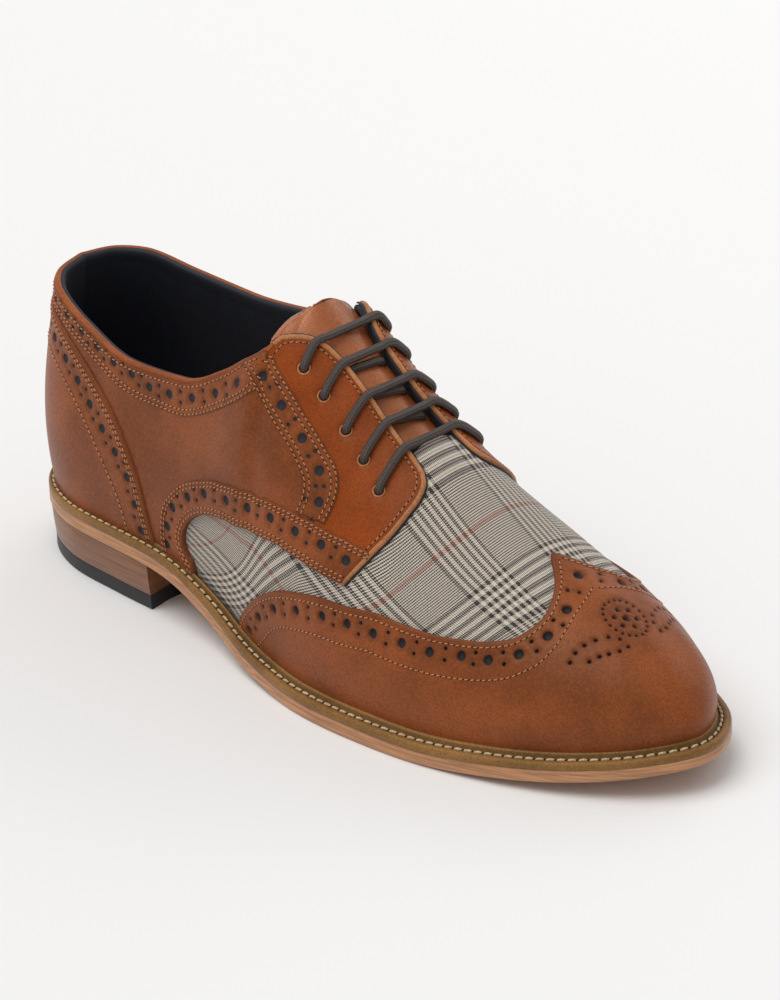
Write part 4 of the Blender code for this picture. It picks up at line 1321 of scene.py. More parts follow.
# lifts over the skin of the last: top of each layer, and floor of its holes
BASE_TOP = 0.00125
FACING_TOP = 0.00145
COLLAR_TOP = 0.00165
COLLAR_FLOOR = 0.00133
STAY_TOP = 0.00200
STAY_FLOOR = 0.00170
BAND_TOP = 0.00205
BAND_FLOOR = 0.00152
COUNTER_TOP = 0.00215
COUNTER_FLOOR = 0.00170
CAP_TOP = 0.00165
CAP_FLOOR = 0.00035
EYELET_FLOOR = 0.0003

# grid steps of a wide and of a narrow panel, and half the distance between the two pinholes of a pair
WIDE_STEP = 0.0022
CAP_STEP = 0.0020
NARROW_STEP = 0.0018
PAIR_HALF = 0.0019
STAY_PAIR_HALF = 0.0015
COUNTER_PAIR_HALF = 0.0018

# rounded edges, as rows of inset and drop
SOFT_EDGE = ((0.0, 0.00035), (0.0003, 0.00008), (0.0007, 0.0))
FLAT_EDGE = ((0.0, 0.00028), (0.0004, 0.00004))
THICK_EDGE = ((0.0, 0.00045), (0.0003, 0.00012), (0.0007, 0.0))
COUNTER_EDGE = ((0.0, 0.00055), (0.0003, 0.00016), (0.0008, 0.0))
CAP_EDGE = ((0.0, 0.00035), (0.0003, 0.00010), (0.0007, 0.0))


def make_quarters():
    """Quarter, facing, collar band, eyelet stay and low band of both sides."""
    holes = sizes()
    for side, word in ((OUTSIDE, "lateral"), (INSIDE, "medial")):
        slot = "quarter_" + word
        lines = quarter_lines(side)
        reach_of_stay = abs(lines["stay"][-1][0])
        low_back = lines["low"][np.abs(lines["low"][:, 0]) < reach_of_stay]
        low_front = lines["low"][np.abs(lines["low"][:, 0]) >= reach_of_stay]
        base = np.vstack([cut(lines["top"], stop=STAY_MIDDLE[0][0]), lines["stay"], low_back, lines["counter"]])
        panel("quarter_base_" + word, SIDE, base, [], BASE_TOP, 0.0, 0.0, WIDE_STEP, panel_finish("calf"), slot)
        eyelets = [(SIDE[0](share * side, height), holes.eyelet / 2) for share, height in EYELETS]
        above = cut(lines["top"], start=STAY_MIDDLE[0][0])
        facing = np.vstack([above, lines["front"][1:], low_front[1:], lines["stay"][::-1]])
        panel("facing_" + word, SIDE, facing, eyelets, FACING_TOP, 0.0, EYELET_FLOOR, NARROW_STEP,
              panel_finish("facing"), edge=SOFT_EDGE)
        under_rim = lay(SIDE, side, [(a, b - 0.004) for a, b in TOP_LINE if a < 0.41])
        collar = np.vstack([under_rim, lines["collar"][::-1]])
        pattern = brogue(SIDE, side, COLLAR_HOLES, holes.big_hole * 0.92, holes.pin_hole, PAIR_HALF)
        panel("collar_band_" + word, SIDE, collar, pattern, COLLAR_TOP, 0.0010, COLLAR_FLOOR, NARROW_STEP,
              panel_finish("band"), edge=FLAT_EDGE)
        above = cut(lines["top"], STAY_BACK[0][0], STAY_FRONT[0][0]) - np.array([0.0, 0.0003])
        stay = np.vstack([lines["stay_back"][::-1], above, lines["stay_front"]])
        pattern = brogue(SIDE, side, STAY_HOLES, holes.big_hole, holes.pin_hole, STAY_PAIR_HALF)
        end = lay(SIDE, side, (STAY_HOLES[-1], (0.532, 0.490)))[-1:]
        last_pair = end + np.array([[-0.0025, 0.001], [0.0025, -0.001]])
        pattern += [(spot, holes.pin_hole / 2) for spot in last_pair]
        panel("eyelet_stay_" + word, SIDE, stay, pattern, STAY_TOP, 0.0010, STAY_FLOOR, NARROW_STEP,
              panel_finish("band"), edge=FLAT_EDGE)
        band = np.vstack([lines["band"], lines["low"]])
        pattern = brogue(SIDE, side, BAND_HOLES, holes.big_hole, holes.pin_hole, PAIR_HALF)
        panel("low_band_" + word, SIDE, band, pattern, BAND_TOP, 0.0002, BAND_FLOOR, NARROW_STEP,
              panel_finish("band"), edge=THICK_EDGE)


# section of an eyelet's rim: how far outside the hole's edge, and lift over the facing
EYELET_RIM = ((-0.0001, -0.0007), (0.0, -0.0001), (0.00015, 0.00014), (0.00035, 0.00012), (0.00055, -0.00005))


def make_eyelets():
    """Pressed rim round each eyelet, made pale as a painted highlight."""
    count = 20
    for side, word in ((OUTSIDE, "lateral"), (INSIDE, "medial")):
        spots = np.array([SIDE[0](share * side, height) for share, height in EYELETS])
        loops = []
        for grow, lift in EYELET_RIM:
            radii = np.full(len(spots), sizes().eyelet / 2 + grow)
            loops.append(on_chart(SIDE, rings_round(SIDE, spots, radii, count), FACING_TOP + lift))
        points = np.stack(loops, 1).reshape(-1, 3)
        faces = []
        for n in range(len(spots)):
            for j in range(len(loops) - 1):
                for k in range(count):
                    m = (k + 1) % count
                    a = (n * len(loops) + j) * count
                    faces.append([a + k, a + m, a + count + m, a + count + k])
        mesh_piece("eyelet_rims_" + word, points, faces, [bead_highlight_finish()])


def both_sides(chart, rows):
    """Line through a table on the outside, over the heel or crest, and on the inside."""
    lateral = lay(chart, OUTSIDE, rows)
    medial = lay(chart, INSIDE, rows)
    if chart is SIDE:
        return np.vstack([medial[::-1], lateral[1:]])
    return np.vstack([lateral, medial[::-1][1:]])


def make_counter():
    """Heel counter with its punched edge, over both quarters."""
    holes = sizes()
    edge = both_sides(SIDE, COUNTER_LINE)
    foot = np.stack([np.linspace(COUNTER_LINE[-1][0], -COUNTER_LINE[-1][0], 80) * CHART_LONG, np.zeros(80)], -1)
    pattern = []
    for side in (OUTSIDE, INSIDE):
        found = brogue(SIDE, side, COUNTER_HOLES, holes.big_hole * 0.95, holes.pin_hole, COUNTER_PAIR_HALF)
        pattern += found[1:] if side == INSIDE else found
    panel("counter_leather", SIDE, np.vstack([edge, foot[1:-1]]), pattern, COUNTER_TOP, 0.0004, COUNTER_FLOOR, CAP_STEP,
          panel_finish("band"), "counter", edge=COUNTER_EDGE)


# back end of the wings at the feather line, height of the rosette's centre on the toe's middle line, and
# its rings as rows of count, radius and size of the holes in large holes
WING_FOOT = 0.412
ROSETTE_HEIGHT = 0.86
ROSETTE_RINGS = ((6, 0.0042, 0.55), (20, 0.0082, 0.34))


def make_toe_cap():
    """Wing cap with its punched edge and a rosette on the toe."""
    holes = sizes()
    edge = both_sides(CROWN, WING_LINE)
    shares = np.concatenate([np.linspace(-WING_FOOT, -1, 90), np.linspace(1, WING_FOOT, 90)[1:]])
    foot = CROWN[0](shares, np.zeros(len(shares)))[::-1]
    pattern = brogue(CROWN, OUTSIDE, WING_HOLES, holes.big_hole, holes.pin_hole, PAIR_HALF)
    crest = len(WING_HOLES) - 1
    found = brogue(CROWN, INSIDE, WING_HOLES, holes.big_hole, holes.pin_hole, PAIR_HALF)
    pattern += found[:crest] + found[crest + 1:] + rosette(holes)
    panel("wing_cap", CROWN, np.vstack([edge, foot[1:-1]]), pattern, CAP_TOP, 0.0, CAP_FLOOR, CAP_STEP,
          panel_finish("band"), "toe_cap", edge=CAP_EDGE)


def rosette(holes):
    """Rosette on the toe: a hole with a ring of six, a ring of pinholes, and a leaf of pinholes on each side."""
    centre = CROWN[0](-1.0, ROSETTE_HEIGHT) * np.array([1.0, 0.0])
    found = [(centre, holes.big_hole * 0.42)]
    for count, radius, size in ROSETTE_RINGS:
        loop = rings_round(CROWN, centre[None], [radius], count)[0]
        found += [(spot, holes.big_hole * size / 2) for spot in loop]
    for side in (OUTSIDE, INSIDE):
        found += [(CROWN[0](share * side, height), holes.pin_hole / 2) for share, height in LEAF_HOLES]
    return found


TONGUE_GAP = 0.0010
TONGUE_THICKNESS = 0.0025
TONGUE_RISE = 0.0048
TONGUE_ROUND = 0.0011
TONGUE_SEAM = 0.0020
# tongue colour lighter than the calf: a painted highlight of the light from above
TONGUE_COLOUR_WITH_HIGHLIGHT = (0.43, 0.125, 0.044)


def smoothed(values, rounds):
    """Rows averaged with their neighbours a number of times; the ends stay."""
    values = values.copy()
    for _ in range(rounds):
        values[1:-1] = (values[:-2] + 2 * values[1:-1] + values[2:]) / 4
    return values


def make_tongue():
    """Padded tongue, rounded at its top, between the facings."""
    # the tongue's light colour paints a highlight on it
    face = kept("tongue_skin", leather, TONGUE_COLOUR_WITH_HIGHLIGHT, 0.29, 0.0, False, 0.8)
    first = TONGUE_LINE[0][0]
    parts = []
    top = -UPPER_WALL - TONGUE_GAP
    for side in (OUTSIDE, INSIDE):
        columns = []
        for share in np.linspace(first, TONGUE_LINE[-1][0], 60):
            low = float(curve(TONGUE_LINE, 1, share))
            columns.append([(share * side, low + (1 - low) * t) for t in np.linspace(0, 1, 24)])
        points, faces, marks, uv = sheet_grid(columns, top, top - TONGUE_THICKNESS, ("start",))
        parts.append((points, turned(faces, side), marks, uv))
    points, faces, marks, uv = stack(parts)
    mesh_piece("tongue_leather", points, faces, [face, lining_finish()], "tongue", marks, uv)
    shares = np.concatenate([np.linspace(first, RIDGE_START, 40), -np.linspace(RIDGE_START, first, 40)[1:]])
    base = skin(shares, 1.0)
    run = length_along(base)
    even = np.linspace(0, run[-1], 70)

    def level_out(values, rounds):
        """Values read at even steps and smoothed along the edge."""
        return smoothed(np.stack([np.interp(even, run, values[:, k]) for k in range(3)], -1), rounds)

    out = unit(level_out(outward(shares, 1.0), 40))
    low = level_out(base, 2) + out * top
    base = level_out(base, 60)
    beyond = unit(smoothed(unit(np.cross(unit(np.gradient(base, axis=0)), out)), 12))
    if beyond[len(beyond) // 2, 0] > 0:
        beyond = -beyond
    t = np.linspace(0, 1, len(base))[:, None]
    rise = TONGUE_RISE * np.clip(t / 0.15, 0, 1) * np.clip((1 - t) / 0.22, 0.02, 1)
    crown = smoothed(base + out * top + beyond * rise, 120)
    half = TONGUE_THICKNESS / 2
    rings = [low, (low + crown) / 2]
    for turn in np.linspace(0, math.pi, 9):
        rings.append(crown + out * (half * math.cos(turn) - half) + beyond * TONGUE_ROUND * math.sin(turn))
    rings += [(low + crown) / 2 - out * TONGUE_THICKNESS, low - out * TONGUE_THICKNESS]
    sweep("tongue_rim", np.arange(len(base)) * 0.001, rings, [face], closed=False,
          uv=[i * 0.0004 for i in range(len(rings))])
    row = ((crown + out * 0.00028 - beyond * TONGUE_SEAM)[8:-8], out[8:-8])
    sew("stitches_tongue", [row], sizes().stitch, sizes().stitch_gap, THREAD_RADIUS, thread_finish())


# Rows of stitches
THREAD_RADIUS = 0.00023
SEAM_LIFT = 0.00012
COUNTER_ROWS = (0.0020, 0.0032)
WING_ROWS = (0.0021, 0.0128)


def make_stitches():
    """Every row of thread on the upper."""

    def rows(name, slot, found):
        sew(name, found, sizes().stitch, sizes().stitch_gap, THREAD_RADIUS, thread_finish())

    for side, word in ((OUTSIDE, "lateral"), (INSIDE, "medial")):
        lines = quarter_lines(side)
        sign = -side
        found = []

        def row(line, distance, lift, start=None, stop=None, below=-1.0):
            moved = cut(beside(SIDE, pace(SIDE, line, 0.002), distance * sign), start, stop)
            rim = curve(TOP_LINE, 1, np.abs(moved[:, 0]) / CHART_LONG)
            moved = moved[moved[:, 1] / CHART_TALL < rim - below]
            if len(moved) > 3:
                found.append(seam(SIDE, moved, lift + SEAM_LIFT))

        row(lines["top"], -0.0021, COLLAR_TOP, stop=0.380)
        row(lines["top"], -0.0021, STAY_TOP, 0.383, 0.428)
        row(lines["top"], -0.0022, FACING_TOP, start=0.448)
        row(lines["front"], -0.0024, FACING_TOP)
        row(lines["low"], -0.0012, BAND_TOP)
        row(lines["low"], -0.0027, BAND_TOP)
        row(lines["band"], -0.0008, BAND_TOP)
        row(lines["band"], -0.0021, BAND_TOP)
        row(lines["collar"], 0.0007, COLLAR_TOP, stop=0.438)
        row(lines["collar"], 0.0023, COLLAR_TOP, stop=0.431)
        row(lines["stay_back"], 0.0006, STAY_TOP, below=0.03)
        row(lines["stay_back"], 0.0025, STAY_TOP, below=0.03)
        row(lines["stay_front"], -0.0006, STAY_TOP, below=0.03)
        row(lines["stay_front"], -0.0025, STAY_TOP, below=0.03)
        rows("stitches_" + word, "quarter_" + word, found)
    found = []
    edge = pace(SIDE, both_sides(SIDE, COUNTER_LINE), 0.002)
    for distance in COUNTER_ROWS:
        found.append(seam(SIDE, beside(SIDE, edge, -distance)[2:-2], COUNTER_TOP + SEAM_LIFT))
    found.append(seam(SIDE, both_sides(SIDE, COUNTER_INNER), COUNTER_TOP + SEAM_LIFT))
    rows("stitches_counter", "counter", found)
    found = []
    for side in (OUTSIDE, INSIDE):
        edge = pace(CROWN, lay(CROWN, side, WING_LINE), 0.002)
        for distance in WING_ROWS:
            moved = beside(CROWN, edge, distance * side)
            moved = moved[moved[:, 1] * side > 0.0002]
            moved = moved[CROWN[1](moved)[1] > 0.012]
            found.append(seam(CROWN, moved, CAP_TOP + SEAM_LIFT))
    rows("stitches_cap", "toe_cap", found)


# Sole, welt and heel
def crowded(count):
    """Steps from 0 to 1 that crowd together at heel and toe."""
    steps = np.linspace(0, 1, count)
    return steps - 0.055 * np.sin(2 * math.pi * steps)


def loop_shares(count):
    """Signed shares of a loop round the whole outline."""
    steps = crowded(count)
    return np.concatenate([-steps, steps[-2:0:-1]])


# welt's inner edge past the feather line, its groove as a share of its reach, and its stitches
WELT_ROOT = 0.0012
WELT_GROOVE = 0.5
WELT_STITCH_GAP = 0.0005
WELT_THREAD_RADIUS = 0.00052

# section of the welt: share of its reach, rise over the outsole or over the welt's top, finish (0 welt leather, 1
# groove darkened as painted shade, 2 near-black painted shade where the welt meets the upper)
WELT_INNER = ((0.00, 0.0006, 2),)
WELT_UPPER = (
    (0.00, 0.0012, 2), (0.05, 0.0016, 2), (0.16, 0.0018, 2), (0.27, 0.0012, 0), (0.33, 0.0003, 1), (0.38, -0.0003, 1),
    (0.50, -0.0005, 1), (0.62, -0.0003, 1), (0.67, 0.0002, 0), (0.78, 0.0003, 0), (0.92, 0.0001, 0),
    (0.985, -0.0005, 0), (1.00, -0.0011, 0),
)
WELT_OUTER = ((0.995, 0.0002, 0), (0.96, 0.0, 0))


def welt_ring(shares, share, rise):
    """Closed loop of space points at a share of the welt's reach and a height over the underside."""
    near = feather(shares)[0]
    x, y = feather(shares, WELT_ROOT + (reach(near) - WELT_ROOT) * share)[:2]
    return np.stack([x, y, underside(near) + rise], -1)


def make_welt():
    """Storm welt: a raised inner bead, a stitched groove and a rounded outer edge, with painted shade in the groove and
    along the upper.
    """
    shares = loop_shares(260)
    base = OUTSOLE_THICKNESS
    top = base + WELT_THICKNESS
    section = [(share, base + rise, kind) for share, rise, kind in WELT_INNER]
    section += [(share, top + rise, kind) for share, rise, kind in WELT_UPPER]
    section += [(share, base + rise, kind) for share, rise, kind in WELT_OUTER]
    rings = [welt_ring(shares, share, rise) for share, rise, _ in section]
    colour = tuple(colours().welt)
    # groove finish darker as painted shade of the recess; root finish near-black as painted shade beside the upper
    materials = [kept("welt_leather", leather, colour, 0.42, 0.0, False),
                 kept("welt_groove", leather, tone(colour, 0.62), 0.5, 0.0, False),
                 kept("welt_root", leather, tone(colour, 0.22), 0.5, 0.0, False)]
    sweep("welt_strip", length_along(rings[0]), rings, materials, "welt", [row[2] for row in section[1:]], True,
          [i * 0.001 for i in range(len(section))])
    line = welt_ring(shares, WELT_GROOVE, top - 0.00005)
    line = np.vstack([line, line[:1]])
    up = np.tile([0.0, 0.0, 1.0], (len(line), 1))
    thread = kept("welt_thread", plain, tuple(colours().welt_thread), 0.65, 1200.0, 0.3, 0.4, 0.0001)
    # the welt's needle holes take the same near-black discs of painted shade
    sew("stitches_welt", [(line, up)], sizes().welt_stitch, WELT_STITCH_GAP, WELT_THREAD_RADIUS,
        [thread, thread_finish()[1]], 0.10)


def plate(name, count, grow, low, high, profile, materials, slot, front=None, hollow=0.0):
    """Plate between two heights; profile rows are (level, inset); front cuts it at a length."""
    across = 8
    stops = {}
    for side in (OUTSIDE, INSIDE):
        stops[side] = 1.0
        if front is not None:
            shares = np.linspace(0, 1, 2001)
            x = feather(shares * side, grow(feather(shares * side)[0]))[0]
            stops[side] = float(shares[np.argmax(x > front)])
    steps = crowded(count) if front is None else np.linspace(0, 1, count)
    points = []
    faces = []
    marks = []

    def plan(side, inset):
        """One side's half of the outline, seen from above."""
        shares = steps * stops[side] * side
        near = feather(shares)[0]
        x, y = feather(shares, grow(near) - inset)[:2]
        return np.stack([x, y], -1)

    def add(flat, level):
        """Numbers of a row of new points at a level between the two heights."""
        start = len(points)
        z = low(flat[:, 0]) + (high(flat[:, 0]) - low(flat[:, 0])) * level
        points.extend(np.column_stack([flat, z]).tolist())
        return list(range(start, start + len(flat)))

    def bridge(a, b, curved):
        """Row of points from one side to the other."""
        t = np.linspace(0, 1, across + 1)[:, None]
        line = a + (b - a) * t
        if curved:
            line[:, 0] -= hollow * 4 * t[:, 0] * (1 - t[:, 0])
        return line

    loops = []
    for level, inset in profile:
        outside = plan(OUTSIDE, inset)
        inside = plan(INSIDE, inset)
        if front is None:
            flat = np.vstack([outside, inside[-2:0:-1]])
        else:
            flat = np.vstack([outside, bridge(outside[-1], inside[-1], True)[1:-1], inside[:0:-1]])
        loops.append(add(flat, level))
    for lower, upper in zip(loops, loops[1:]):
        for i in range(len(lower)):
            j = (i + 1) % len(lower)
            faces.append([lower[i], lower[j], upper[j], upper[i]])
            marks.append(0)
    for (level, inset), up in ((profile[0], False), (profile[-1], True)):
        rows = []
        for i, (a, b) in enumerate(zip(plan(OUTSIDE, inset), plan(INSIDE, inset))):
            rows.append(add(bridge(a, b, front is not None and i == count - 1), level))
        for back, ahead in zip(rows, rows[1:]):
            for i in range(across):
                face = [back[i], ahead[i], ahead[i + 1], back[i + 1]]
                faces.append(face if up else face[::-1])
                marks.append(1)
    item = mesh_piece(name, points, faces, materials, slot, marks)
    item.data.set_sharp_from_angle(angle=math.radians(50))


def flat_at(height):
    """Level surface at a height, for plate."""
    return lambda x: np.full_like(x, height)


# edges of the plates, as rows of level and inset
SOLE_PROFILE = (
    (0.0, 0.0011), (0.03, 0.0006), (0.10, 0.0002), (0.20, 0.0), (0.55, 0.0), (0.60, 0.0002), (0.64, 0.0002),
    (0.69, 0.0), (0.90, 0.0001), (1.0, 0.0005),
)
HEEL_PROFILE = ((0.0, HEEL_TAPER), (0.02, HEEL_TAPER - 0.0001), (0.5, 0.0005), (0.97, 0.0001), (1.0, 0.0003))
LIFT_PROFILE = ((0.0, 0.0006), (0.06, 0.0001), (0.15, 0.0), (0.9, 0.0), (0.97, 0.0001), (1.0, 0.0004))
HEEL_INSET = 0.0004


def make_outsole():
    """Leather outsole with a rounded cut edge, a scored line and a plain underside."""
    edge = kept("sole_edge", stacked, tuple(colours().sole), 0.0025, 0.6)
    under = kept("sole_underside", plain, tone(tuple(colours().sole), 0.9), 0.55, 90.0, 0.15, 0.12, 0.0002)
    plate("outsole_leather", 150, reach, underside, lambda x: underside(x) + OUTSOLE_THICKNESS, SOLE_PROFILE,
          [edge, under], "outsole")


def make_heel():
    """Stacked leather heel over a black rubber top lift."""
    stack_finish = kept("heel_stack", stacked, tuple(colours().heel), 0.0040, 1.0)
    plate("heel_stack", 60, lambda x: reach(x) - HEEL_INSET, flat_at(LIFT_THICKNESS), underside, HEEL_PROFILE,
          [stack_finish, stack_finish], "heel", HEEL_BREAST, BREAST_HOLLOW)
    rubber = kept("rubber", plain, tuple(colours().rubber), 0.48, 700.0, 0.3, 0.2, 0.0001)
    plate("rubber_lift", 60, lambda x: reach(x) - HEEL_INSET - HEEL_TAPER, flat_at(0.0), flat_at(LIFT_THICKNESS),
          LIFT_PROFILE, [rubber, rubber], "top_lift", HEEL_BREAST, BREAST_HOLLOW)


def make_insole():
    """The sock keeps its solid and takes the lining's finish."""
    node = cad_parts["insole"]
    item = node if isinstance(node, bpy.types.Object) else bpy.data.objects["insole"]
    item.data.materials.clear()
    item.data.materials.append(lining_finish())


# lift of a crossing in the throat, and its dive under a facing as rows of how far down the column and lift
CROSSING_DEPTH = -0.0021
CROSSING_DIVE = ((0.11, -0.0052), (0.06, -0.0046))


def make_lace():
    """Five straight bars through the eyelets, with the crossings under the facings."""
    radius = sizes().lace / 2
    points = []
    faces = []
    uv = []
    level = FACING_TOP + radius * 0.75
    depth = CROSSING_DEPTH + radius * 0.4

    def run(stops):
        """Add one cord along a smooth line through its stops."""
        some, cells, chart = cord(spline(stops, 8), radius, 12)
        start = sum(len(p) for p in points)
        points.append(np.array(some))
        faces.extend([[v + start for v in face] for face in cells])
        uv.extend(chart)

    for share, height in EYELETS:
        edge = float(curve(TOP_LINE, 1, share))
        climbs = []
        for side in (OUTSIDE, INSIDE):
            s = share * side
            climbs.append([
                place(s, height - 0.010, -0.0026),
                place(s, height - 0.004, -0.0006),
                place(s, height + 0.012, level - 0.0004),
                place(s, height * 0.6 + edge * 0.4, level + 0.0002),
                place(s, edge - 0.012, level + 0.0004),
            ])
        near, far = climbs
        straight = [near[-1] + (far[-1] - near[-1]) * t for t in (0.25, 0.5, 0.75)]
        run(np.array(near + straight + far[::-1]))
    for outside, outside_height, inside, inside_height in CROSSINGS:
        legs = []
        for s, height in ((-outside, outside_height), (inside, inside_height)):
            leg = [place(s, height - back, low) for back, low in CROSSING_DIVE]
            legs.append(leg + [place(s, height - 0.02, depth - 0.0008), place(s, height, depth)])
        near, far = legs
        out = outward(-(outside + inside) / 2, 0.985)
        run(np.array(near + [(near[-1] + far[-1]) / 2 + out * 0.0004] + far[::-1]))
    finish = [kept("lace_braid", braid, tuple(colours().lace))]
    mesh_piece("lace_braid", np.vstack(points), faces, finish, "lace", None, uv)


# Studio
TURN = math.radians(47.3)
TILT = math.radians(26.7)
ROLL_ANGLE = math.radians(-2.4)
DISTANCE = 2.4
PIXELS_PER_METRE = 3000.0
FRAME_WIDTH = 780
FRAME_HEIGHT = 1000
AIM = Vector((0.0, 0.0, 0.055))
AIM_PIXEL = (375.0, 500.0)
SENSOR = 36.0
SKY = 0.50
KEY = 1.55
BACK_LIGHT = 5.0


def make_camera():
    """Camera at the photo's angle to the shoe, with the whole shoe in the frame."""
    back = Vector((math.sin(TURN) * math.cos(TILT), -math.cos(TURN) * math.cos(TILT), math.sin(TILT)))
    right = Vector((math.cos(TURN), math.sin(TURN), 0.0))
    up = back.cross(right)
    turned = right * math.cos(ROLL_ANGLE) + up * math.sin(ROLL_ANGLE)
    raised = up * math.cos(ROLL_ANGLE) - right * math.sin(ROLL_ANGLE)
    data = bpy.data.cameras.new("camera")
    item = bpy.data.objects.new("camera", data)
    bpy.context.scene.collection.objects.link(item)
    item.matrix_world = Matrix((
        (turned.x, raised.x, back.x, AIM.x + back.x * DISTANCE),
        (turned.y, raised.y, back.y, AIM.y + back.y * DISTANCE),
        (turned.z, raised.z, back.z, AIM.z + back.z * DISTANCE),
        (0, 0, 0, 1),
    ))
    focal = PIXELS_PER_METRE * DISTANCE
    data.sensor_fit = "VERTICAL"
    data.sensor_height = SENSOR
    data.lens = focal * SENSOR / FRAME_HEIGHT
    data.shift_x = (FRAME_WIDTH / 2 - AIM_PIXEL[0]) / FRAME_HEIGHT
    data.shift_y = (AIM_PIXEL[1] - FRAME_HEIGHT / 2) / FRAME_HEIGHT
    data.clip_end = 50.0
    bpy.context.scene.camera = item


def area_light(name, spot, aim, size, power):
    """White rectangular light aimed at a point."""
    data = bpy.data.lights.new(name, "AREA")
    data.shape = "RECTANGLE"
    data.size, data.size_y = size
    data.energy = power
    item = bpy.data.objects.new(name, data)
    bpy.context.scene.collection.objects.link(item)
    item.location = spot
    item.rotation_euler = (Vector(aim) - Vector(spot)).to_track_quat("-Z", "Y").to_euler()


def make_stage():
    """Pale floor, soft light and the camera."""
    mesh = bpy.data.meshes.new("floor")
    mesh.from_pydata([(-8, -8, 0), (8, -8, 0), (8, 8, 0), (-8, 8, 0)], [], [(0, 1, 2, 3)])
    w = Wiring("floor_white")
    w.finish((0.90, 0.90, 0.90), 0.75, None, Specular_IOR_Level=0.1)
    mesh.materials.append(w.material)
    floor = bpy.data.objects.new("floor", mesh)
    bpy.context.scene.collection.objects.link(floor)
    world = bpy.context.scene.world or bpy.data.worlds.new("studio")
    bpy.context.scene.world = world
    world.use_nodes = True
    ground = world.node_tree.nodes["Background"]
    ground.inputs[0].default_value = (1.0, 1.0, 1.0, 1.0)
    ground.inputs[1].default_value = SKY
    bpy.context.scene.view_settings.view_transform = "Standard"
    sun = bpy.data.lights.new("key", "SUN")
    sun.energy = KEY
    sun.angle = math.radians(50)
    sun.color = (1.0, 0.985, 0.965)
    item = bpy.data.objects.new("key", sun)
    bpy.context.scene.collection.objects.link(item)
    item.rotation_euler = Vector((0.15, 0.35, -1.0)).to_track_quat("-Z", "Y").to_euler()
    area_light("back", (-0.1, 1.5, 1.1), (0.0, 0.0, 0.08), (1.8, 0.7), BACK_LIGHT)
    make_camera()


# Add-on
class BROGUE_OT_stage(bpy.types.Operator):
    """Add the pale floor, the soft light and the camera"""

    bl_idname = "brogue.stage"
    bl_label = "Studio"
    bl_options = {"REGISTER", "UNDO"}

    def execute(self, context):
        make_stage()
        return {"FINISHED"}


class BROGUE_OT_upper(bpy.types.Operator):
    """Add the check cloth and its lining"""

    bl_idname = "brogue.upper"
    bl_label = "Upper"
    bl_options = {"REGISTER", "UNDO"}

    def execute(self, context):
        make_upper()
        return {"FINISHED"}


class BROGUE_OT_rims(bpy.types.Operator):
    """Add the rolled rim, the bindings and the beads"""

    bl_idname = "brogue.rims"
    bl_label = "Rims"
    bl_options = {"REGISTER", "UNDO"}

    def execute(self, context):
        make_rims()
        return {"FINISHED"}


class BROGUE_OT_quarters(bpy.types.Operator):
    """Add the quarters, facings and bands"""

    bl_idname = "brogue.quarters"
    bl_label = "Quarters"
    bl_options = {"REGISTER", "UNDO"}

    def execute(self, context):
        make_quarters()
        return {"FINISHED"}


class BROGUE_OT_eyelets(bpy.types.Operator):
    """Add the rims round the eyelets"""

    bl_idname = "brogue.eyelets"
    bl_label = "Eyelets"
    bl_options = {"REGISTER", "UNDO"}

    def execute(self, context):
        make_eyelets()
        return {"FINISHED"}


class BROGUE_OT_counter(bpy.types.Operator):
    """Add the heel counter"""

    bl_idname = "brogue.counter"
    bl_label = "Counter"
    bl_options = {"REGISTER", "UNDO"}

    def execute(self, context):
        make_counter()
        return {"FINISHED"}


class BROGUE_OT_toe_cap(bpy.types.Operator):
    """Add the wing cap"""

    bl_idname = "brogue.toe_cap"
    bl_label = "Toe cap"
    bl_options = {"REGISTER", "UNDO"}

    def execute(self, context):
        make_toe_cap()
        return {"FINISHED"}


class BROGUE_OT_tongue(bpy.types.Operator):
    """Add the tongue"""

    bl_idname = "brogue.tongue"
    bl_label = "Tongue"
    bl_options = {"REGISTER", "UNDO"}

    def execute(self, context):
        make_tongue()
        return {"FINISHED"}


class BROGUE_OT_stitches(bpy.types.Operator):
    """Add the stitches"""

    bl_idname = "brogue.stitches"
    bl_label = "Stitches"
    bl_options = {"REGISTER", "UNDO"}

    def execute(self, context):
        make_stitches()
        return {"FINISHED"}


class BROGUE_OT_welt(bpy.types.Operator):
    """Add the welt"""

    bl_idname = "brogue.welt"
    bl_label = "Welt"
    bl_options = {"REGISTER", "UNDO"}

    def execute(self, context):
        make_welt()
        return {"FINISHED"}


class BROGUE_OT_outsole(bpy.types.Operator):
    """Add the outsole"""

    bl_idname = "brogue.outsole"
    bl_label = "Outsole"
    bl_options = {"REGISTER", "UNDO"}

    def execute(self, context):
        make_outsole()
        return {"FINISHED"}


class BROGUE_OT_heel(bpy.types.Operator):
    """Add the heel and its lift"""

    bl_idname = "brogue.heel"
    bl_label = "Heel"
    bl_options = {"REGISTER", "UNDO"}

    def execute(self, context):
        make_heel()
        return {"FINISHED"}


class BROGUE_OT_insole(bpy.types.Operator):
    """Finish the insole"""

    bl_idname = "brogue.insole"
    bl_label = "Insole"
    bl_options = {"REGISTER", "UNDO"}

    def execute(self, context):
        make_insole()
        return {"FINISHED"}


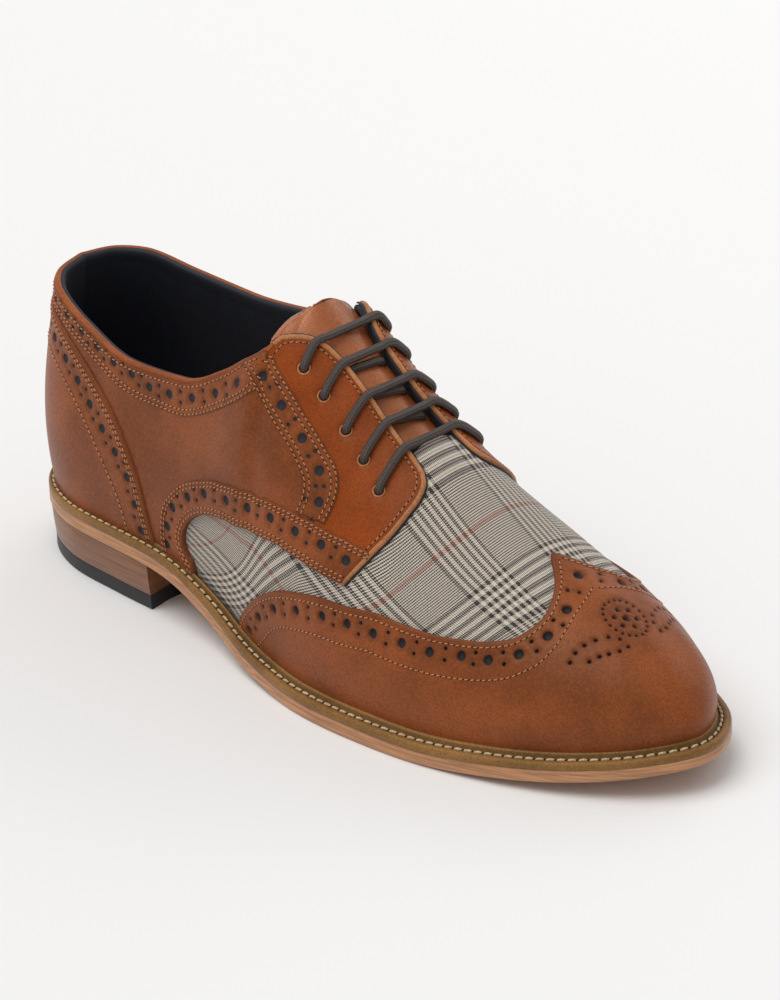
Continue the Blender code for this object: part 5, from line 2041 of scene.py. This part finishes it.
class BROGUE_OT_lace(bpy.types.Operator):
    """Add the lace"""

    bl_idname = "brogue.lace"
    bl_label = "Lace"
    bl_options = {"REGISTER", "UNDO"}

    def execute(self, context):
        make_lace()
        return {"FINISHED"}


OPERATORS = (
    BROGUE_OT_stage,
    BROGUE_OT_upper,
    BROGUE_OT_rims,
    BROGUE_OT_quarters,
    BROGUE_OT_eyelets,
    BROGUE_OT_counter,
    BROGUE_OT_toe_cap,
    BROGUE_OT_tongue,
    BROGUE_OT_stitches,
    BROGUE_OT_welt,
    BROGUE_OT_outsole,
    BROGUE_OT_heel,
    BROGUE_OT_insole,
    BROGUE_OT_lace,
)


class BROGUE_PT_panel(bpy.types.Panel):
    """Sizes, colours and pieces of the brogue"""

    bl_idname = "BROGUE_PT_panel"
    bl_label = "Wingtip brogue"
    bl_space_type = "VIEW_3D"
    bl_region_type = "UI"
    bl_category = "Brogue"

    def draw(self, context):
        for group in (context.scene.brogue_sizes, context.scene.brogue_colours):
            box = self.layout.box()
            for key in group.__annotations__:
                box.prop(group, key)
        for item in OPERATORS:
            self.layout.operator(item.bl_idname)


CLASSES = (BrogueSizes, BrogueColours, *OPERATORS, BROGUE_PT_panel)


def register():
    """Register the classes and the settings."""
    for item in CLASSES:
        bpy.utils.register_class(item)
    bpy.types.Scene.brogue_sizes = PointerProperty(type=BrogueSizes)
    bpy.types.Scene.brogue_colours = PointerProperty(type=BrogueColours)


def unregister():
    """Remove the settings and the classes."""
    del bpy.types.Scene.brogue_colours
    del bpy.types.Scene.brogue_sizes
    for item in reversed(CLASSES):
        bpy.utils.unregister_class(item)


def main():
    """Build the shoe and its studio."""
    register()
    bpy.ops.brogue.stage()
    bpy.ops.brogue.upper()
    bpy.ops.brogue.rims()
    bpy.ops.brogue.quarters()
    bpy.ops.brogue.eyelets()
    bpy.ops.brogue.counter()
    bpy.ops.brogue.toe_cap()
    bpy.ops.brogue.tongue()
    bpy.ops.brogue.stitches()
    bpy.ops.brogue.welt()
    bpy.ops.brogue.outsole()
    bpy.ops.brogue.heel()
    bpy.ops.brogue.insole()
    bpy.ops.brogue.lace()


if __name__ == "__main__":
    main()
